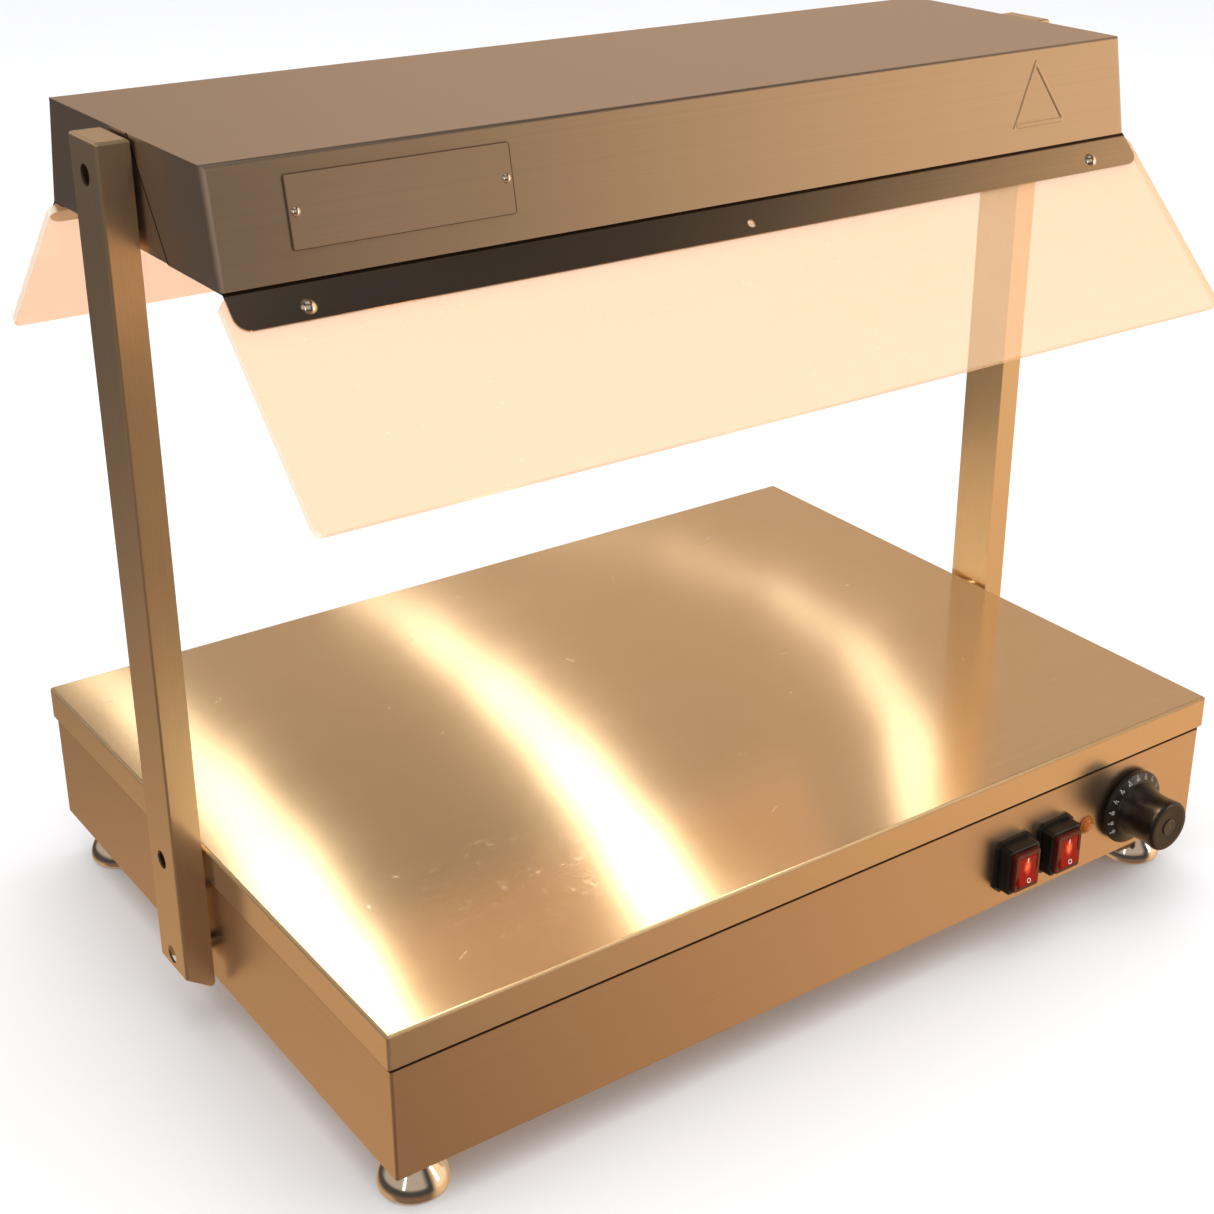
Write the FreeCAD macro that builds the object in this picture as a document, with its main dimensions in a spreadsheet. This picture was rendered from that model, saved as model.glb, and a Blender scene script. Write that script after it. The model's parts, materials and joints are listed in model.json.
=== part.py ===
import FreeCAD, Part
import math
import os
import re

import Sketcher
from FreeCAD import Placement, Rotation, Vector

# A countertop heated display: a heated steel deck on a shallow base, two posts,
# and a lamp hood above the deck with a sloping glass guard along its front and back.
# X runs along the deck, Y runs to the back and Z is up. The origin is on the surface
# that the feet stand on, in the middle of the whole object's outer box.
# Every sub-part is drawn about the middle of the deck and then placed at deck_middle_y.

SIZES = {
    # deck and base
    "deck_width": 700,
    "deck_depth": 516,
    "deck_middle_y": 8.5,
    "base_height": 106,
    "skirt_height": 24,
    "steel_sheet": 1.2,
    "sheet_bend": 2,
    "shell_width": 696,
    "shell_depth": 512,
    "shell_flange": 45,
    "cover_gap": 2,
    # feet
    "foot_height": 35,
    "foot_radius": 22.5,
    "foot_neck_radius": 8,
    "foot_stud_radius": 4,
    "foot_span_x": 642,
    "foot_span_y": 452,
    "pad_radius": 19,
    "pad_thickness": 2.5,
    # deck heater
    "mat_width": 560,
    "mat_depth": 360,
    "mat_thickness": 3,
    "insulation_thickness": 20,
    "clamp_width": 620,
    "clamp_depth": 400,
    "clamp_sheet": 1.5,
    "deck_stud_radius": 2.5,
    # posts
    "post_inner_x": 353.2,
    "post_depth": 20,
    "post_width": 40,
    "post_sheet": 1.5,
    "post_bottom": 34.8,
    "post_slant": 14,
    "post_top": 605,
    "access_radius": 6.4,
    "low_bolt": 58.5,
    "skirt_bolt": 132.6,
    "high_bolt": 583.7,
    "bolt_radius": 3,
    "bolt_clearance": 0.35,
    "cable_offset": 11.5,
    "cable_low": 95,
    "cable_high": 566,
    "cable_radius": 3,
    # hood
    "hood_length": 703,
    "hood_bottom": 540.8,
    "hood_height": 66,
    "hood_top_depth": 215.8,
    "hood_flare": 12.8,
    "hood_sheet": 1.5,
    "hood_bend": 3.5,
    "hood_end_sheet": 2,
    "hood_flange": 12,
    "flap_step": 0.8,
    # glass guards
    "guard_slope": 45,
    "rail_drop": 24.5,
    "rail_leg": 14,
    "rail_length": 700,
    "glass_width": 708,
    "glass_top": 3,
    "glass_drop": 145,
    "glass_thickness": 5,
    "guard_screw_drop": 16.5,
    "guard_screw_x": 306,
    # controls
    "light_switch_x": 154,
    "plate_switch_x": 196,
    "switch_lift": 68.5,
    "pilot_x": 231,
    "pilot_lift": 70.6,
    "knob_x": 275,
    "knob_lift": 73,
    "boot_depth": 13,
    "bezel_reach": 16.5,
    "rocker_pivot": 12,
    "rocker_radius": 11.7,
    "rocker_tilt": 8,
    "rocker_width": 17.6,
    "knob_radius": 29,
    "knob_reach": 41,
    "shaft_radius": 3,
    "shaft_clearance": 0.05,
    # supply
    "gland_x": 250,
    "gland_lift": 78,
    "gland_bore": 4.2,
    "gland_reach": 24,
    # lamps
    "lamp_x": 163,
    "lamp_lift": 560,
    "lamp_radius": 5,
    "lamp_length": 118,
    "reflector_length": 660,
    "reflector_sheet": 0.8,
}

doc = FreeCAD.newDocument("HeatLampWarmer")
sheet = doc.addObject("Spreadsheet::Sheet", "Sizes")
for row, (alias, number) in enumerate(SIZES.items(), start=1):
    sheet.set(f"A{row}", alias)
    sheet.set(f"B{row}", str(number))
    sheet.setAlias(f"B{row}", alias)
doc.recompute()

NODES = []


def size(alias):
    """The number that the sheet holds under this alias."""
    return float(sheet.get(alias))


# Levels and distances that follow from the driving sizes.
SHELL_FRONT = size("shell_depth") / 2
SHELL_SIDE = size("shell_width") / 2
DECK_TOP = size("foot_height") + size("base_height")
DECK_UNDERSIDE = DECK_TOP - size("steel_sheet")
COVER_BOTTOM = size("foot_height") + size("steel_sheet")
COVER_TOP = COVER_BOTTOM + size("steel_sheet")
CLAMP_TOP = DECK_UNDERSIDE - size("mat_thickness") - size("insulation_thickness")
CLAMP_BOTTOM = CLAMP_TOP - size("clamp_sheet")
HOOD_EDGE = size("hood_top_depth") / 2 + size("hood_flare")
HOOD_TOP = size("hood_bottom") + size("hood_height")
HOOD_LEAN = math.degrees(math.atan2(size("hood_flare"), size("hood_height")))
STRIP_OUTER = size("post_inner_x") + size("post_sheet")
FOOT_CORNERS = [
    (x * size("foot_span_x") / 2, y * size("foot_span_y") / 2) for y in (-1, 1) for x in (-1, 1)
]
COVER_SCREWS = [(x, y) for x in (-160, 160) for y in (-234, 234)]
COVER_SCREWS += [(x, y) for x in (-326, 326) for y in (-90, 90)]
DECK_STUDS = [(x, y) for x in (-296, 296) for y in (-190, 190)]
GUARD_SCREWS = [(x, y) for x in (-343, 343) for y in (-44, 44)]
NAMEPLATE_SCREWS = (-301.2, -167.2)
SWITCHES = {"light": "light_switch_x", "plate": "plate_switch_x"}


def words(text):
    """Turns words such as 'deck_width / 2' into an expression that reads the sheet."""
    return re.sub(r"[a-z]\w+", lambda m: "Sizes." + m[0] if m[0] in SIZES else m[0], text)


def bind(item, **properties):
    """Binds properties of an object to the sheet."""
    for name, text in properties.items():
        item.setExpression(name, words(text))


def node(item, name):
    """Names a finished sub-part."""
    item.Label = name
    NODES.append(item)
    return item


# ---------------------------------------------------------------- drawing tools


def new_body(name, x="0", z="0"):
    body = doc.addObject("PartDesign::Body", name)
    doc.recompute()
    body.setExpression(".Placement.Base.x", words(x))
    body.setExpression(".Placement.Base.y", words("deck_middle_y"))
    body.setExpression(".Placement.Base.z", words(z))
    return node(body, name)


def new_sketch(body, plane, offset="0", lean=0.0, origin=(0, 0, 0)):
    """A sketch on one of the body's origin planes, lifted along the plane's normal.

    With a lean, the sketch's plane is instead the XY plane turned about X through origin."""
    sketch = body.newObject("Sketcher::SketchObject", f"{body.Name}_sketch")
    base = next(f for f in body.Origin.OriginFeatures if f.Role == plane)
    sketch.AttachmentSupport = [(base, "")]
    sketch.MapMode = "FlatFace"
    if lean:
        sketch.AttachmentOffset = Placement(Vector(*origin), Rotation(Vector(1, 0, 0), lean))
    else:
        sketch.setExpression("AttachmentOffset.Base.z", words(offset))
    return sketch


def pin_point(sketch, geometry, point, x, y):
    for kind, text in (("DistanceX", x), ("DistanceY", y)):
        number = sketch.addConstraint(Sketcher.Constraint(kind, -1, 1, geometry, point, 1.0))
        sketch.setExpression(f"Constraints[{number}]", words(str(text)))


def outline(sketch, points):
    """A closed outline whose corners are words or numbers. It starts as a regular polygon."""
    first = len(sketch.Geometry)
    count = len(points)
    turn = 2 * math.pi / count
    corners = [Vector(9 * math.cos(i * turn), 9 * math.sin(i * turn), 0) for i in range(count)]
    for i in range(count):
        sketch.addGeometry(Part.LineSegment(corners[i], corners[(i + 1) % count]), False)
    for i in range(count):
        following = first + (i + 1) % count
        sketch.addConstraint(Sketcher.Constraint("Coincident", first + i, 2, following, 1))
    for i, (x, y) in enumerate(points):
        pin_point(sketch, first + i, 1, x, y)


def rectangle(sketch, low_x, high_x, low_y, high_y):
    outline(sketch, [(low_x, low_y), (high_x, low_y), (high_x, high_y), (low_x, high_y)])


def centred_rectangle(sketch, width, height):
    rectangle(sketch, f"-({width}) / 2", f"({width}) / 2", f"-({height}) / 2", f"({height}) / 2")


def circle(sketch, x, y, radius):
    number = sketch.addGeometry(Part.Circle(Vector(1, 1, 0), Vector(0, 0, 1), 1), False)
    pin_point(sketch, number, 3, x, y)
    held = sketch.addConstraint(Sketcher.Constraint("Radius", number, 1.0))
    sketch.setExpression(f"Constraints[{held}]", words(str(radius)))


def pad(body, sketch, length, backwards=False):
    feature = body.newObject("PartDesign::Pad", f"{body.Name}_pad")
    feature.Profile = sketch
    feature.Reversed = backwards
    bind(feature, Length=length)
    doc.recompute()
    return feature


def pocket(body, sketch, length, backwards=False):
    """A pocket that must take something away."""
    before = body.Shape.Volume
    feature = body.newObject("PartDesign::Pocket", f"{body.Name}_pocket")
    feature.Profile = sketch
    feature.Reversed = backwards
    bind(feature, Length=length)
    doc.recompute()
    if feature.Shape.Volume >= before - 1e-3:
        raise RuntimeError(f"a pocket of {body.Name} cuts nothing")
    return feature


def revolve(body, sketch):
    """Turns an outline about the sketch's vertical axis."""
    feature = body.newObject("PartDesign::Revolution", f"{body.Name}_turned")
    feature.Profile = sketch
    feature.ReferenceAxis = (sketch, ["V_Axis"])
    feature.Angle = 360
    doc.recompute()
    return feature


def fillet(body, radius, wanted):
    """Rounds the edges of the body's tip that the test wants."""
    edges = [f"Edge{i}" for i, edge in enumerate(body.Tip.Shape.Edges, 1) if wanted(edge)]
    if not edges:
        raise RuntimeError(f"no edge of {body.Name} to round")
    base = body.Tip
    feature = body.newObject("PartDesign::Fillet", f"{body.Name}_bend")
    feature.Base = (base, edges)
    bind(feature, Radius=str(radius))
    doc.recompute()
    return feature


def along(edge, direction):
    """True where a straight edge lies along the direction."""
    if len(edge.Vertexes) != 2:
        return False
    span = edge.Vertexes[1].Point - edge.Vertexes[0].Point
    return near(span.Length, edge.Length, 1e-4) and abs(span.dot(Vector(*direction))) > 0.999 * edge.Length


def near(number, target, within=0.05):
    return abs(number - target) < within


def middle(edge):
    return edge.BoundBox.Center


def feature(name, shape):
    """A sub-part whose shape is worked out with Part's own functions."""
    item = doc.addObject("Part::Feature", name)
    item.Shape = shape
    shift = Placement(Vector(0, size("deck_middle_y"), 0), Rotation())
    item.Placement = shift.multiply(shape.Placement)
    return node(item, name)


def block(low, high):
    corner, far = Vector(*low), Vector(*high)
    span = far - corner
    return Part.makeBox(span.x, span.y, span.z, corner)


def rod(start, end, radius):
    start, end = Vector(*start), Vector(*end)
    return Part.makeCylinder(radius, (end - start).Length, start, end - start)


def hexagon_nut(start, direction, across, height, bore):
    """A hexagon nut with its first face at start."""
    start, direction = Vector(*start), Vector(*direction)
    radius = across / math.sqrt(3)
    corners = [
        Vector(radius * math.cos(math.radians(60 * i)), radius * math.sin(math.radians(60 * i)), 0)
        for i in range(7)
    ]
    nut = Part.Face(Part.makePolygon(corners)).extrude(Vector(0, 0, height))
    nut = nut.cut(Part.makeCylinder(bore, height))
    nut.Placement = Placement(start, Rotation(Vector(0, 0, 1), direction))
    return nut


def dome_screw(start, direction, head, rise, shank, length):
    """A round-headed screw: the head rises along direction from start, the shank goes back."""
    start, direction = Vector(*start), Vector(*direction)
    ball = (head * head + rise * rise) / (2 * rise)
    cap = Part.makeSphere(ball, Vector(0, 0, rise - ball))
    cap = cap.common(Part.makeCylinder(head, rise))
    screw = cap.fuse(Part.makeCylinder(shank, length, Vector(0, 0, -length))).removeSplitter()
    screw.Placement = Placement(start, Rotation(Vector(0, 0, 1), direction))
    return screw


def pan_screw(start, direction, head, rise, shank, length):
    start, direction = Vector(*start), Vector(*direction)
    top = Part.makeCylinder(head, rise)
    top = top.makeFillet(rise * 0.4, [e for e in top.Edges if near(e.BoundBox.ZMin, rise)])
    screw = top.fuse(Part.makeCylinder(shank, length, Vector(0, 0, -length))).removeSplitter()
    screw.Placement = Placement(start, Rotation(Vector(0, 0, 1), direction))
    return screw


def tube(points, radius, bend):
    """A round cable along straight runs joined by tangent arcs of one bend radius."""
    points = [Vector(*p) for p in points]
    edges = []
    last = points[0]
    for before, corner, after in zip(points, points[1:], points[2:]):
        back = (before - corner).normalize()
        ahead = (after - corner).normalize()
        half_turn = (math.pi - back.getAngle(ahead)) / 2
        reach = bend * math.tan(half_turn)
        start, end = corner + back * reach, corner + ahead * reach
        inward = (back + ahead).normalize()
        crown = corner + inward * (bend / math.cos(half_turn) - bend)
        edges.append(Part.LineSegment(last, start).toShape())
        edges.append(Part.Arc(start, crown, end).toShape())
        last = end
    edges.append(Part.LineSegment(last, points[-1]).toShape())
    path = Part.Wire(edges)
    section = Part.Wire(Part.makeCircle(radius, points[0], points[1] - points[0]))
    cable = path.makePipeShell([section], True, True)
    wanted = math.pi * radius**2 * path.Length
    if abs(cable.Volume - wanted) > 0.02 * wanted:
        raise RuntimeError("a cable's volume is not its section times its length")
    return cable


# ---------------------------------------------------------------- deck and base


def deck_plate():
    """The folded steel lid that forms the heated deck, with its skirt and bolt holes."""
    body = new_body("deck_plate")
    skirt = "foot_height + base_height - skirt_height"
    rim = new_sketch(body, "XY_Plane", skirt)
    centred_rectangle(rim, "deck_width", "deck_depth")
    pad(body, rim, "skirt_height")
    upright = lambda edge: along(edge, (0, 0, 1))
    on_top = lambda edge: near(edge.BoundBox.ZMin, DECK_TOP)
    fillet(body, "sheet_bend", lambda edge: upright(edge) or on_top(edge))
    hollow = new_sketch(body, "XY_Plane", skirt)
    centred_rectangle(hollow, "deck_width - 2 * steel_sheet", "deck_depth - 2 * steel_sheet")
    pocket(body, hollow, "skirt_height - steel_sheet", backwards=True)
    bolts = new_sketch(body, "YZ_Plane", "deck_width / 2 + 1")
    circle(bolts, 0, "skirt_bolt", "bolt_radius + bolt_clearance")
    pocket(body, bolts, "deck_width + 2")


def base_shell():
    """The four walls of the base, with a flange turned in at the bottom and a lip at the top."""
    body = new_body("base_shell")
    floor = new_sketch(body, "XY_Plane", "foot_height")
    centred_rectangle(floor, "shell_width", "shell_depth")
    pad(body, floor, "base_height - steel_sheet")
    fillet(body, "sheet_bend", lambda edge: along(edge, (0, 0, 1)))
    inside = new_sketch(body, "XY_Plane", "foot_height + steel_sheet")
    centred_rectangle(inside, "shell_width - 2 * steel_sheet", "shell_depth - 2 * steel_sheet")
    pocket(body, inside, "base_height - 3 * steel_sheet", backwards=True)
    lip = new_sketch(body, "XY_Plane", "foot_height + base_height")
    centred_rectangle(lip, "shell_width - 24", "shell_depth - 24")
    pocket(body, lip, "base_height / 2")
    opening = new_sketch(body, "XY_Plane", "foot_height + steel_sheet * 2")
    centred_rectangle(opening, "shell_width - 2 * shell_flange", "shell_depth - 2 * shell_flange")
    pocket(body, opening, "steel_sheet * 3")
    drilled = new_sketch(body, "XY_Plane", "foot_height + steel_sheet * 2")
    for x, y in FOOT_CORNERS:
        circle(drilled, x, y, "foot_stud_radius + 0.4")
    for x, y in COVER_SCREWS:
        circle(drilled, x, y, 2.4)
    pocket(body, drilled, "steel_sheet * 3")
    bolts = new_sketch(body, "YZ_Plane", "deck_width / 2")
    circle(bolts, 0, "skirt_bolt", "bolt_radius + bolt_clearance")
    circle(bolts, 0, "low_bolt", "bolt_radius + bolt_clearance")
    pocket(body, bolts, "deck_width")
    cable = new_sketch(body, "YZ_Plane", "-deck_width / 2")
    circle(cable, "cable_offset", "cable_low", "cable_radius + 1")
    pocket(body, cable, "20", backwards=True)
    controls = new_sketch(body, "XZ_Plane", "deck_depth / 2")
    for centre in SWITCHES.values():
        rectangle(controls, f"{centre} - 11", f"{centre} + 11", "switch_lift - 14", "switch_lift + 14")
    circle(controls, "pilot_x", "pilot_lift", 5.8)
    circle(controls, "knob_x", "knob_lift", 5)
    for side in (-1, 1):
        circle(controls, f"knob_x + {14 * side}", "knob_lift", 2.3)
    pocket(body, controls, "20")
    supply = new_sketch(body, "XZ_Plane", "-deck_depth / 2")
    circle(supply, "gland_x", "gland_lift", 8.3)
    pocket(body, supply, "20", backwards=True)


def bottom_cover():
    """The flat plate that closes the base from above its flanges, with cooling slots."""
    body = new_body("bottom_cover")
    plate = new_sketch(body, "XY_Plane", "foot_height + steel_sheet")
    inset = "2 * (steel_sheet + cover_gap)"
    centred_rectangle(plate, f"shell_width - {inset}", f"shell_depth - {inset}")
    pad(body, plate, "steel_sheet")
    holes = new_sketch(body, "XY_Plane", "foot_height + 3 * steel_sheet")
    for x, y in FOOT_CORNERS:
        circle(holes, x, y, "foot_stud_radius + 0.4")
    for x, y in COVER_SCREWS:
        circle(holes, x, y, 2.4)
    for column in (-1, 1):
        for slot in range(7):
            low_x = 150 * column + 16 * (slot - 3) - 2
            rectangle(holes, low_x, low_x + 4, -40, 40)
    pocket(body, holes, "4 * steel_sheet")


def foot(name, x, y):
    """A bell-shaped foot with its threaded stud."""
    body = new_body(name)
    body.setExpression(".Placement.Base.x", str(x))
    body.setExpression(".Placement.Base.y", words(f"deck_middle_y + {y}"))
    profile = new_sketch(body, "XZ_Plane")
    outline(
        profile,
        [
            (0, "pad_thickness"),
            ("pad_radius + 0.4", "pad_thickness"),
            ("pad_radius + 0.4", 0.8),
            ("foot_radius - 1", 0.8),
            ("foot_radius", 2.2),
            ("foot_radius", 4.6),
            ("foot_radius - 3.5", 15),
            ("foot_neck_radius + 3.5", 23.5),
            ("foot_neck_radius", 25.5),
            ("foot_neck_radius", "foot_height"),
            ("foot_stud_radius", "foot_height"),
            ("foot_stud_radius", "foot_height + 19"),
            (0, "foot_height + 19"),
        ],
    )
    revolve(body, profile)
    fillet(body, 7, lambda edge: near(edge.BoundBox.ZMin, 15) and near(edge.BoundBox.ZMax, 15))


def feet():
    for (x, y), name in zip(FOOT_CORNERS, ("front_left", "front_right", "rear_left", "rear_right")):
        foot(f"{name}_foot", x, y)


def foot_pads():
    """The rubber discs that the feet stand on."""
    disc = lambda x, y: rod((x, y, 0), (x, y, size("pad_thickness")), size("pad_radius"))
    feature("foot_pads", Part.makeCompound([disc(x, y) for x, y in FOOT_CORNERS]))


def foot_nuts():
    bore = size("foot_stud_radius") + 0.3
    nuts = [hexagon_nut((x, y, COVER_TOP), (0, 0, 1), 13, 6.5, bore) for x, y in FOOT_CORNERS]
    feature("foot_nuts", Part.makeCompound(nuts))


def bottom_cover_screws():
    under = size("foot_height")
    screws = [pan_screw((x, y, under), (0, 0, -1), 3.6, 2.2, 2, 8) for x, y in COVER_SCREWS]
    feature("bottom_cover_screws", Part.makeCompound(screws))


# ---------------------------------------------------------------- deck heater


def slab(name, width, depth, top, thickness):
    """A flat layer centred under the deck."""
    layer = doc.addObject("Part::Box", name)
    bind(layer, Length=width, Width=depth, Height=thickness)
    layer.setExpression(".Placement.Base.x", words(f"-({width}) / 2"))
    layer.setExpression(".Placement.Base.y", words(f"deck_middle_y - ({depth}) / 2"))
    layer.setExpression(".Placement.Base.z", words(f"{top} - ({thickness})"))
    return layer


def deck_heater_mat():
    """The flat element pressed against the underside of the deck."""
    under = "foot_height + base_height - steel_sheet"
    node(slab("deck_heater_mat", "mat_width", "mat_depth", under, "mat_thickness"), "deck_heater_mat")


def insulation_pad():
    top = "foot_height + base_height - steel_sheet - mat_thickness"
    layer = slab("insulation_pad", "mat_width", "mat_depth", top, "insulation_thickness")
    node(layer, "insulation_pad")


def heater_clamp_plate():
    """The plate that four studs pull up against the insulation."""
    body = new_body("heater_clamp_plate")
    top = "foot_height + base_height - steel_sheet - mat_thickness - insulation_thickness"
    plate = new_sketch(body, "XY_Plane", f"{top} - clamp_sheet")
    centred_rectangle(plate, "clamp_width", "clamp_depth")
    pad(body, plate, "clamp_sheet")
    holes = new_sketch(body, "XY_Plane", f"{top} + 1")
    for x, y in DECK_STUDS:
        circle(holes, x, y, "deck_stud_radius + 0.4")
    pocket(body, holes, "clamp_sheet + 2")


def deck_studs():
    """Studs welded to the underside of the deck."""
    radius = size("deck_stud_radius")
    studs = [rod((x, y, DECK_UNDERSIDE), (x, y, CLAMP_BOTTOM - 8), radius) for x, y in DECK_STUDS]
    feature("deck_studs", Part.makeCompound(studs))


def deck_stud_nuts():
    bore = size("deck_stud_radius") + 0.3
    nuts = [hexagon_nut((x, y, CLAMP_BOTTOM), (0, 0, -1), 8, 4, bore) for x, y in DECK_STUDS]
    feature("deck_stud_nuts", Part.makeCompound(nuts))


# ---------------------------------------------------------------- controls


def thermostat_body():
    """The capillary thermostat, bored for its spindle and for two fixing screws."""
    x, z = size("knob_x"), size("knob_lift")
    back = -SHELL_FRONT + size("steel_sheet")
    case = block((x - 20, back, z - 18), (x + 20, back + 28, z + 18))
    bore = size("shaft_radius") + size("shaft_clearance")
    case = case.cut(rod((x, back - 1, z), (x, back + 17, z), bore))
    for side in (-14, 14):
        case = case.cut(rod((x + side, back - 1, z), (x + side, back + 10, z), 2.3))
    feature("thermostat_body", case)


def thermostat_shaft():
    """The spindle that the knob turns."""
    shaft = doc.addObject("Part::Cylinder", "thermostat_shaft")
    bind(shaft, Radius="shaft_radius", Height="42")
    shaft.Placement = Placement(Vector(0, 0, 0), Rotation(Vector(1, 0, 0), 90))
    shaft.setExpression(".Placement.Base.x", words("knob_x"))
    shaft.setExpression(".Placement.Base.y", words("deck_middle_y - shell_depth / 2 + 17"))
    shaft.setExpression(".Placement.Base.z", words("knob_lift"))
    node(shaft, "thermostat_shaft")


def thermostat_knob():
    """The knob: a skirt with a bevelled dial face, a hub and a waisted grip."""
    body = new_body("thermostat_knob", x="knob_x", z="knob_lift")
    profile = new_sketch(body, "XY_Plane")
    reach = lambda distance: f"-shell_depth / 2 - ({distance})"
    outline(
        profile,
        [
            ("shaft_radius + 0.25", reach(3)),
            (8, reach(3)),
            (8, reach(5)),
            ("knob_radius - 3", reach(5)),
            ("knob_radius - 3", reach(3)),
            ("knob_radius", reach(3)),
            ("knob_radius", reach(6.2)),
            ("knob_radius - 6.5", reach(8.6)),
            ("knob_radius - 7.5", reach(9.4)),
            ("knob_radius - 8.2", reach(15)),
            ("knob_radius - 11.3", reach(20.5)),
            ("knob_radius - 10.2", reach(31)),
            ("knob_radius - 9.3", reach("knob_reach - 2.5")),
            ("knob_radius - 11.3", reach("knob_reach - 0.4")),
            (6.4, reach("knob_reach - 0.4")),
            (6.4, reach("knob_reach - 1.2")),
            (0, reach("knob_reach - 1.2")),
            (0, reach(27)),
            ("shaft_radius + 0.25", reach(27)),
        ],
    )
    revolve(body, profile)
    edge_radius = size("knob_radius") - 9.3
    outer = lambda edge: near(edge.BoundBox.XMax, edge_radius) and near(edge.BoundBox.YLength, 0)
    fillet(body, 1.2, outer)


def knob_cap():
    """The small disc set into the end of the grip."""
    body = new_body("knob_cap", x="knob_x", z="knob_lift")
    profile = new_sketch(body, "XY_Plane")
    reach = lambda distance: f"-shell_depth / 2 - ({distance})"
    outline(
        profile,
        [
            (0, reach("knob_reach - 1.2")),
            (6.1, reach("knob_reach - 1.2")),
            (6.1, reach("knob_reach - 0.3")),
            (5.6, reach("knob_reach")),
            (4.6, reach("knob_reach")),
            (4.2, reach("knob_reach - 0.5")),
            (0, reach("knob_reach - 0.3")),
        ],
    )
    revolve(body, profile)


def thermostat_screws():
    z = size("knob_lift")
    screws = [
        pan_screw((size("knob_x") + side, -SHELL_FRONT, z), (0, -1, 0), 3.6, 2, 2, 9)
        for side in (-14, 14)
    ]
    feature("thermostat_screws", Part.makeCompound(screws))


def thermostat_bulb():
    """The sensing bulb under the deck and the capillary that joins it to the thermostat."""
    x = size("knob_x")
    start = -SHELL_FRONT + size("steel_sheet") + 28
    lift = CLAMP_BOTTOM - 4
    route = [
        (x - 10, start, 85),
        (x - 10, start + 30, 85),
        (x - 36, start + 60, lift),
        (x - 130, start + 60, lift),
    ]
    capillary = tube(route, 1, 12)
    bulb = rod((x - 130, start + 60, lift), (x - 220, start + 60, lift), 3)
    feature("thermostat_bulb", capillary.fuse(bulb).removeSplitter())


def switch_boot(name, centre):
    """The black rubber boot that seals a switch to the panel, on a base with cut corners."""
    body = new_body(name, x=centre, z="switch_lift")
    half_width, half_height, cut = 17.2, 20.6, 4.4
    base = new_sketch(body, "XZ_Plane", "shell_depth / 2")
    corners = [(-1, -1), (1, -1), (1, 1), (-1, 1)]
    points = []
    for side, up in corners:
        beside = (side * half_width, up * (half_height - cut))
        above = (side * (half_width - cut), up * half_height)
        points += [beside, above] if side * up > 0 else [above, beside]
    outline(base, points)
    pad(body, base, "2.5")
    neck = new_sketch(body, "XZ_Plane", "shell_depth / 2 + 2.5")
    centred_rectangle(neck, "30", "36")
    pad(body, neck, "boot_depth - 2.5")
    front = -SHELL_FRONT - size("boot_depth")
    round_corner = lambda edge: along(edge, (0, 1, 0)) and near(edge.BoundBox.YMin, front)
    fillet(body, 3.5, round_corner)
    fillet(body, 1.5, lambda edge: near(edge.BoundBox.YMin, front) and near(edge.BoundBox.YMax, front))
    window = new_sketch(body, "XZ_Plane", "shell_depth / 2 + boot_depth + 1")
    centred_rectangle(window, "24.4", "30.4")
    pocket(body, window, "boot_depth + 2")


def switch_body(name, centre):
    """A switch: its bezel stands in the boot and its case passes through the panel."""
    body = new_body(name, x=centre, z="switch_lift")
    bezel = new_sketch(body, "XZ_Plane", "shell_depth / 2")
    centred_rectangle(bezel, "24", "30")
    pad(body, bezel, "bezel_reach")
    fillet(body, 2, lambda edge: along(edge, (0, 1, 0)))
    front = -SHELL_FRONT - size("bezel_reach")
    fillet(body, 0.8, lambda edge: near(edge.BoundBox.YMin, front) and near(edge.BoundBox.YMax, front))
    case = new_sketch(body, "XZ_Plane", "shell_depth / 2")
    centred_rectangle(case, "21.6", "27.6")
    pad(body, case, "27", backwards=True)
    window = new_sketch(body, "XZ_Plane", "shell_depth / 2 + bezel_reach")
    centred_rectangle(window, "18", "24")
    pocket(body, window, "bezel_reach")
    sockets = new_sketch(body, "YZ_Plane", "11")
    circle(sockets, "-shell_depth / 2 - rocker_pivot", 0, 1.55)
    pocket(body, sockets, "22")


def rocker(name, centre):
    """A rocker: two shallow faces that meet in the middle, on two pivot pins, tilted to on."""
    radius = size("rocker_radius")
    half = size("rocker_width") / 2
    faces = [(-radius, -4.2), (radius, -4.2), (radius, 5.9), (0, 4.1), (-radius, 5.9)]
    corners = [Vector(-half, -forward, up) for up, forward in faces]
    blank = Part.Face(Part.makePolygon(corners + corners[:1])).extrude(Vector(2 * half, 0, 0))
    button = blank.common(rod((-half, 0, 0), (half, 0, 0), radius))
    rims = [e for e in button.Edges if near(abs(middle(e).x), half) and middle(e).y < -4.2]
    button = button.makeFillet(0.5, rims)
    button = button.fuse(rod((-half - 1.7, 0, 0), (half + 1.7, 0, 0), 1.5)).removeSplitter()
    button.rotate(Vector(0, 0, 0), Vector(1, 0, 0), -size("rocker_tilt"))
    pivot = Vector(size(centre), -SHELL_FRONT - size("rocker_pivot"), size("switch_lift"))
    button.translate(pivot)
    feature(name, button)


def switches():
    for title, centre in SWITCHES.items():
        switch_boot(f"{title}_switch_boot", centre)
        switch_body(f"{title}_switch_body", centre)
        rocker(f"{title}_rocker", centre)


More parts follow.
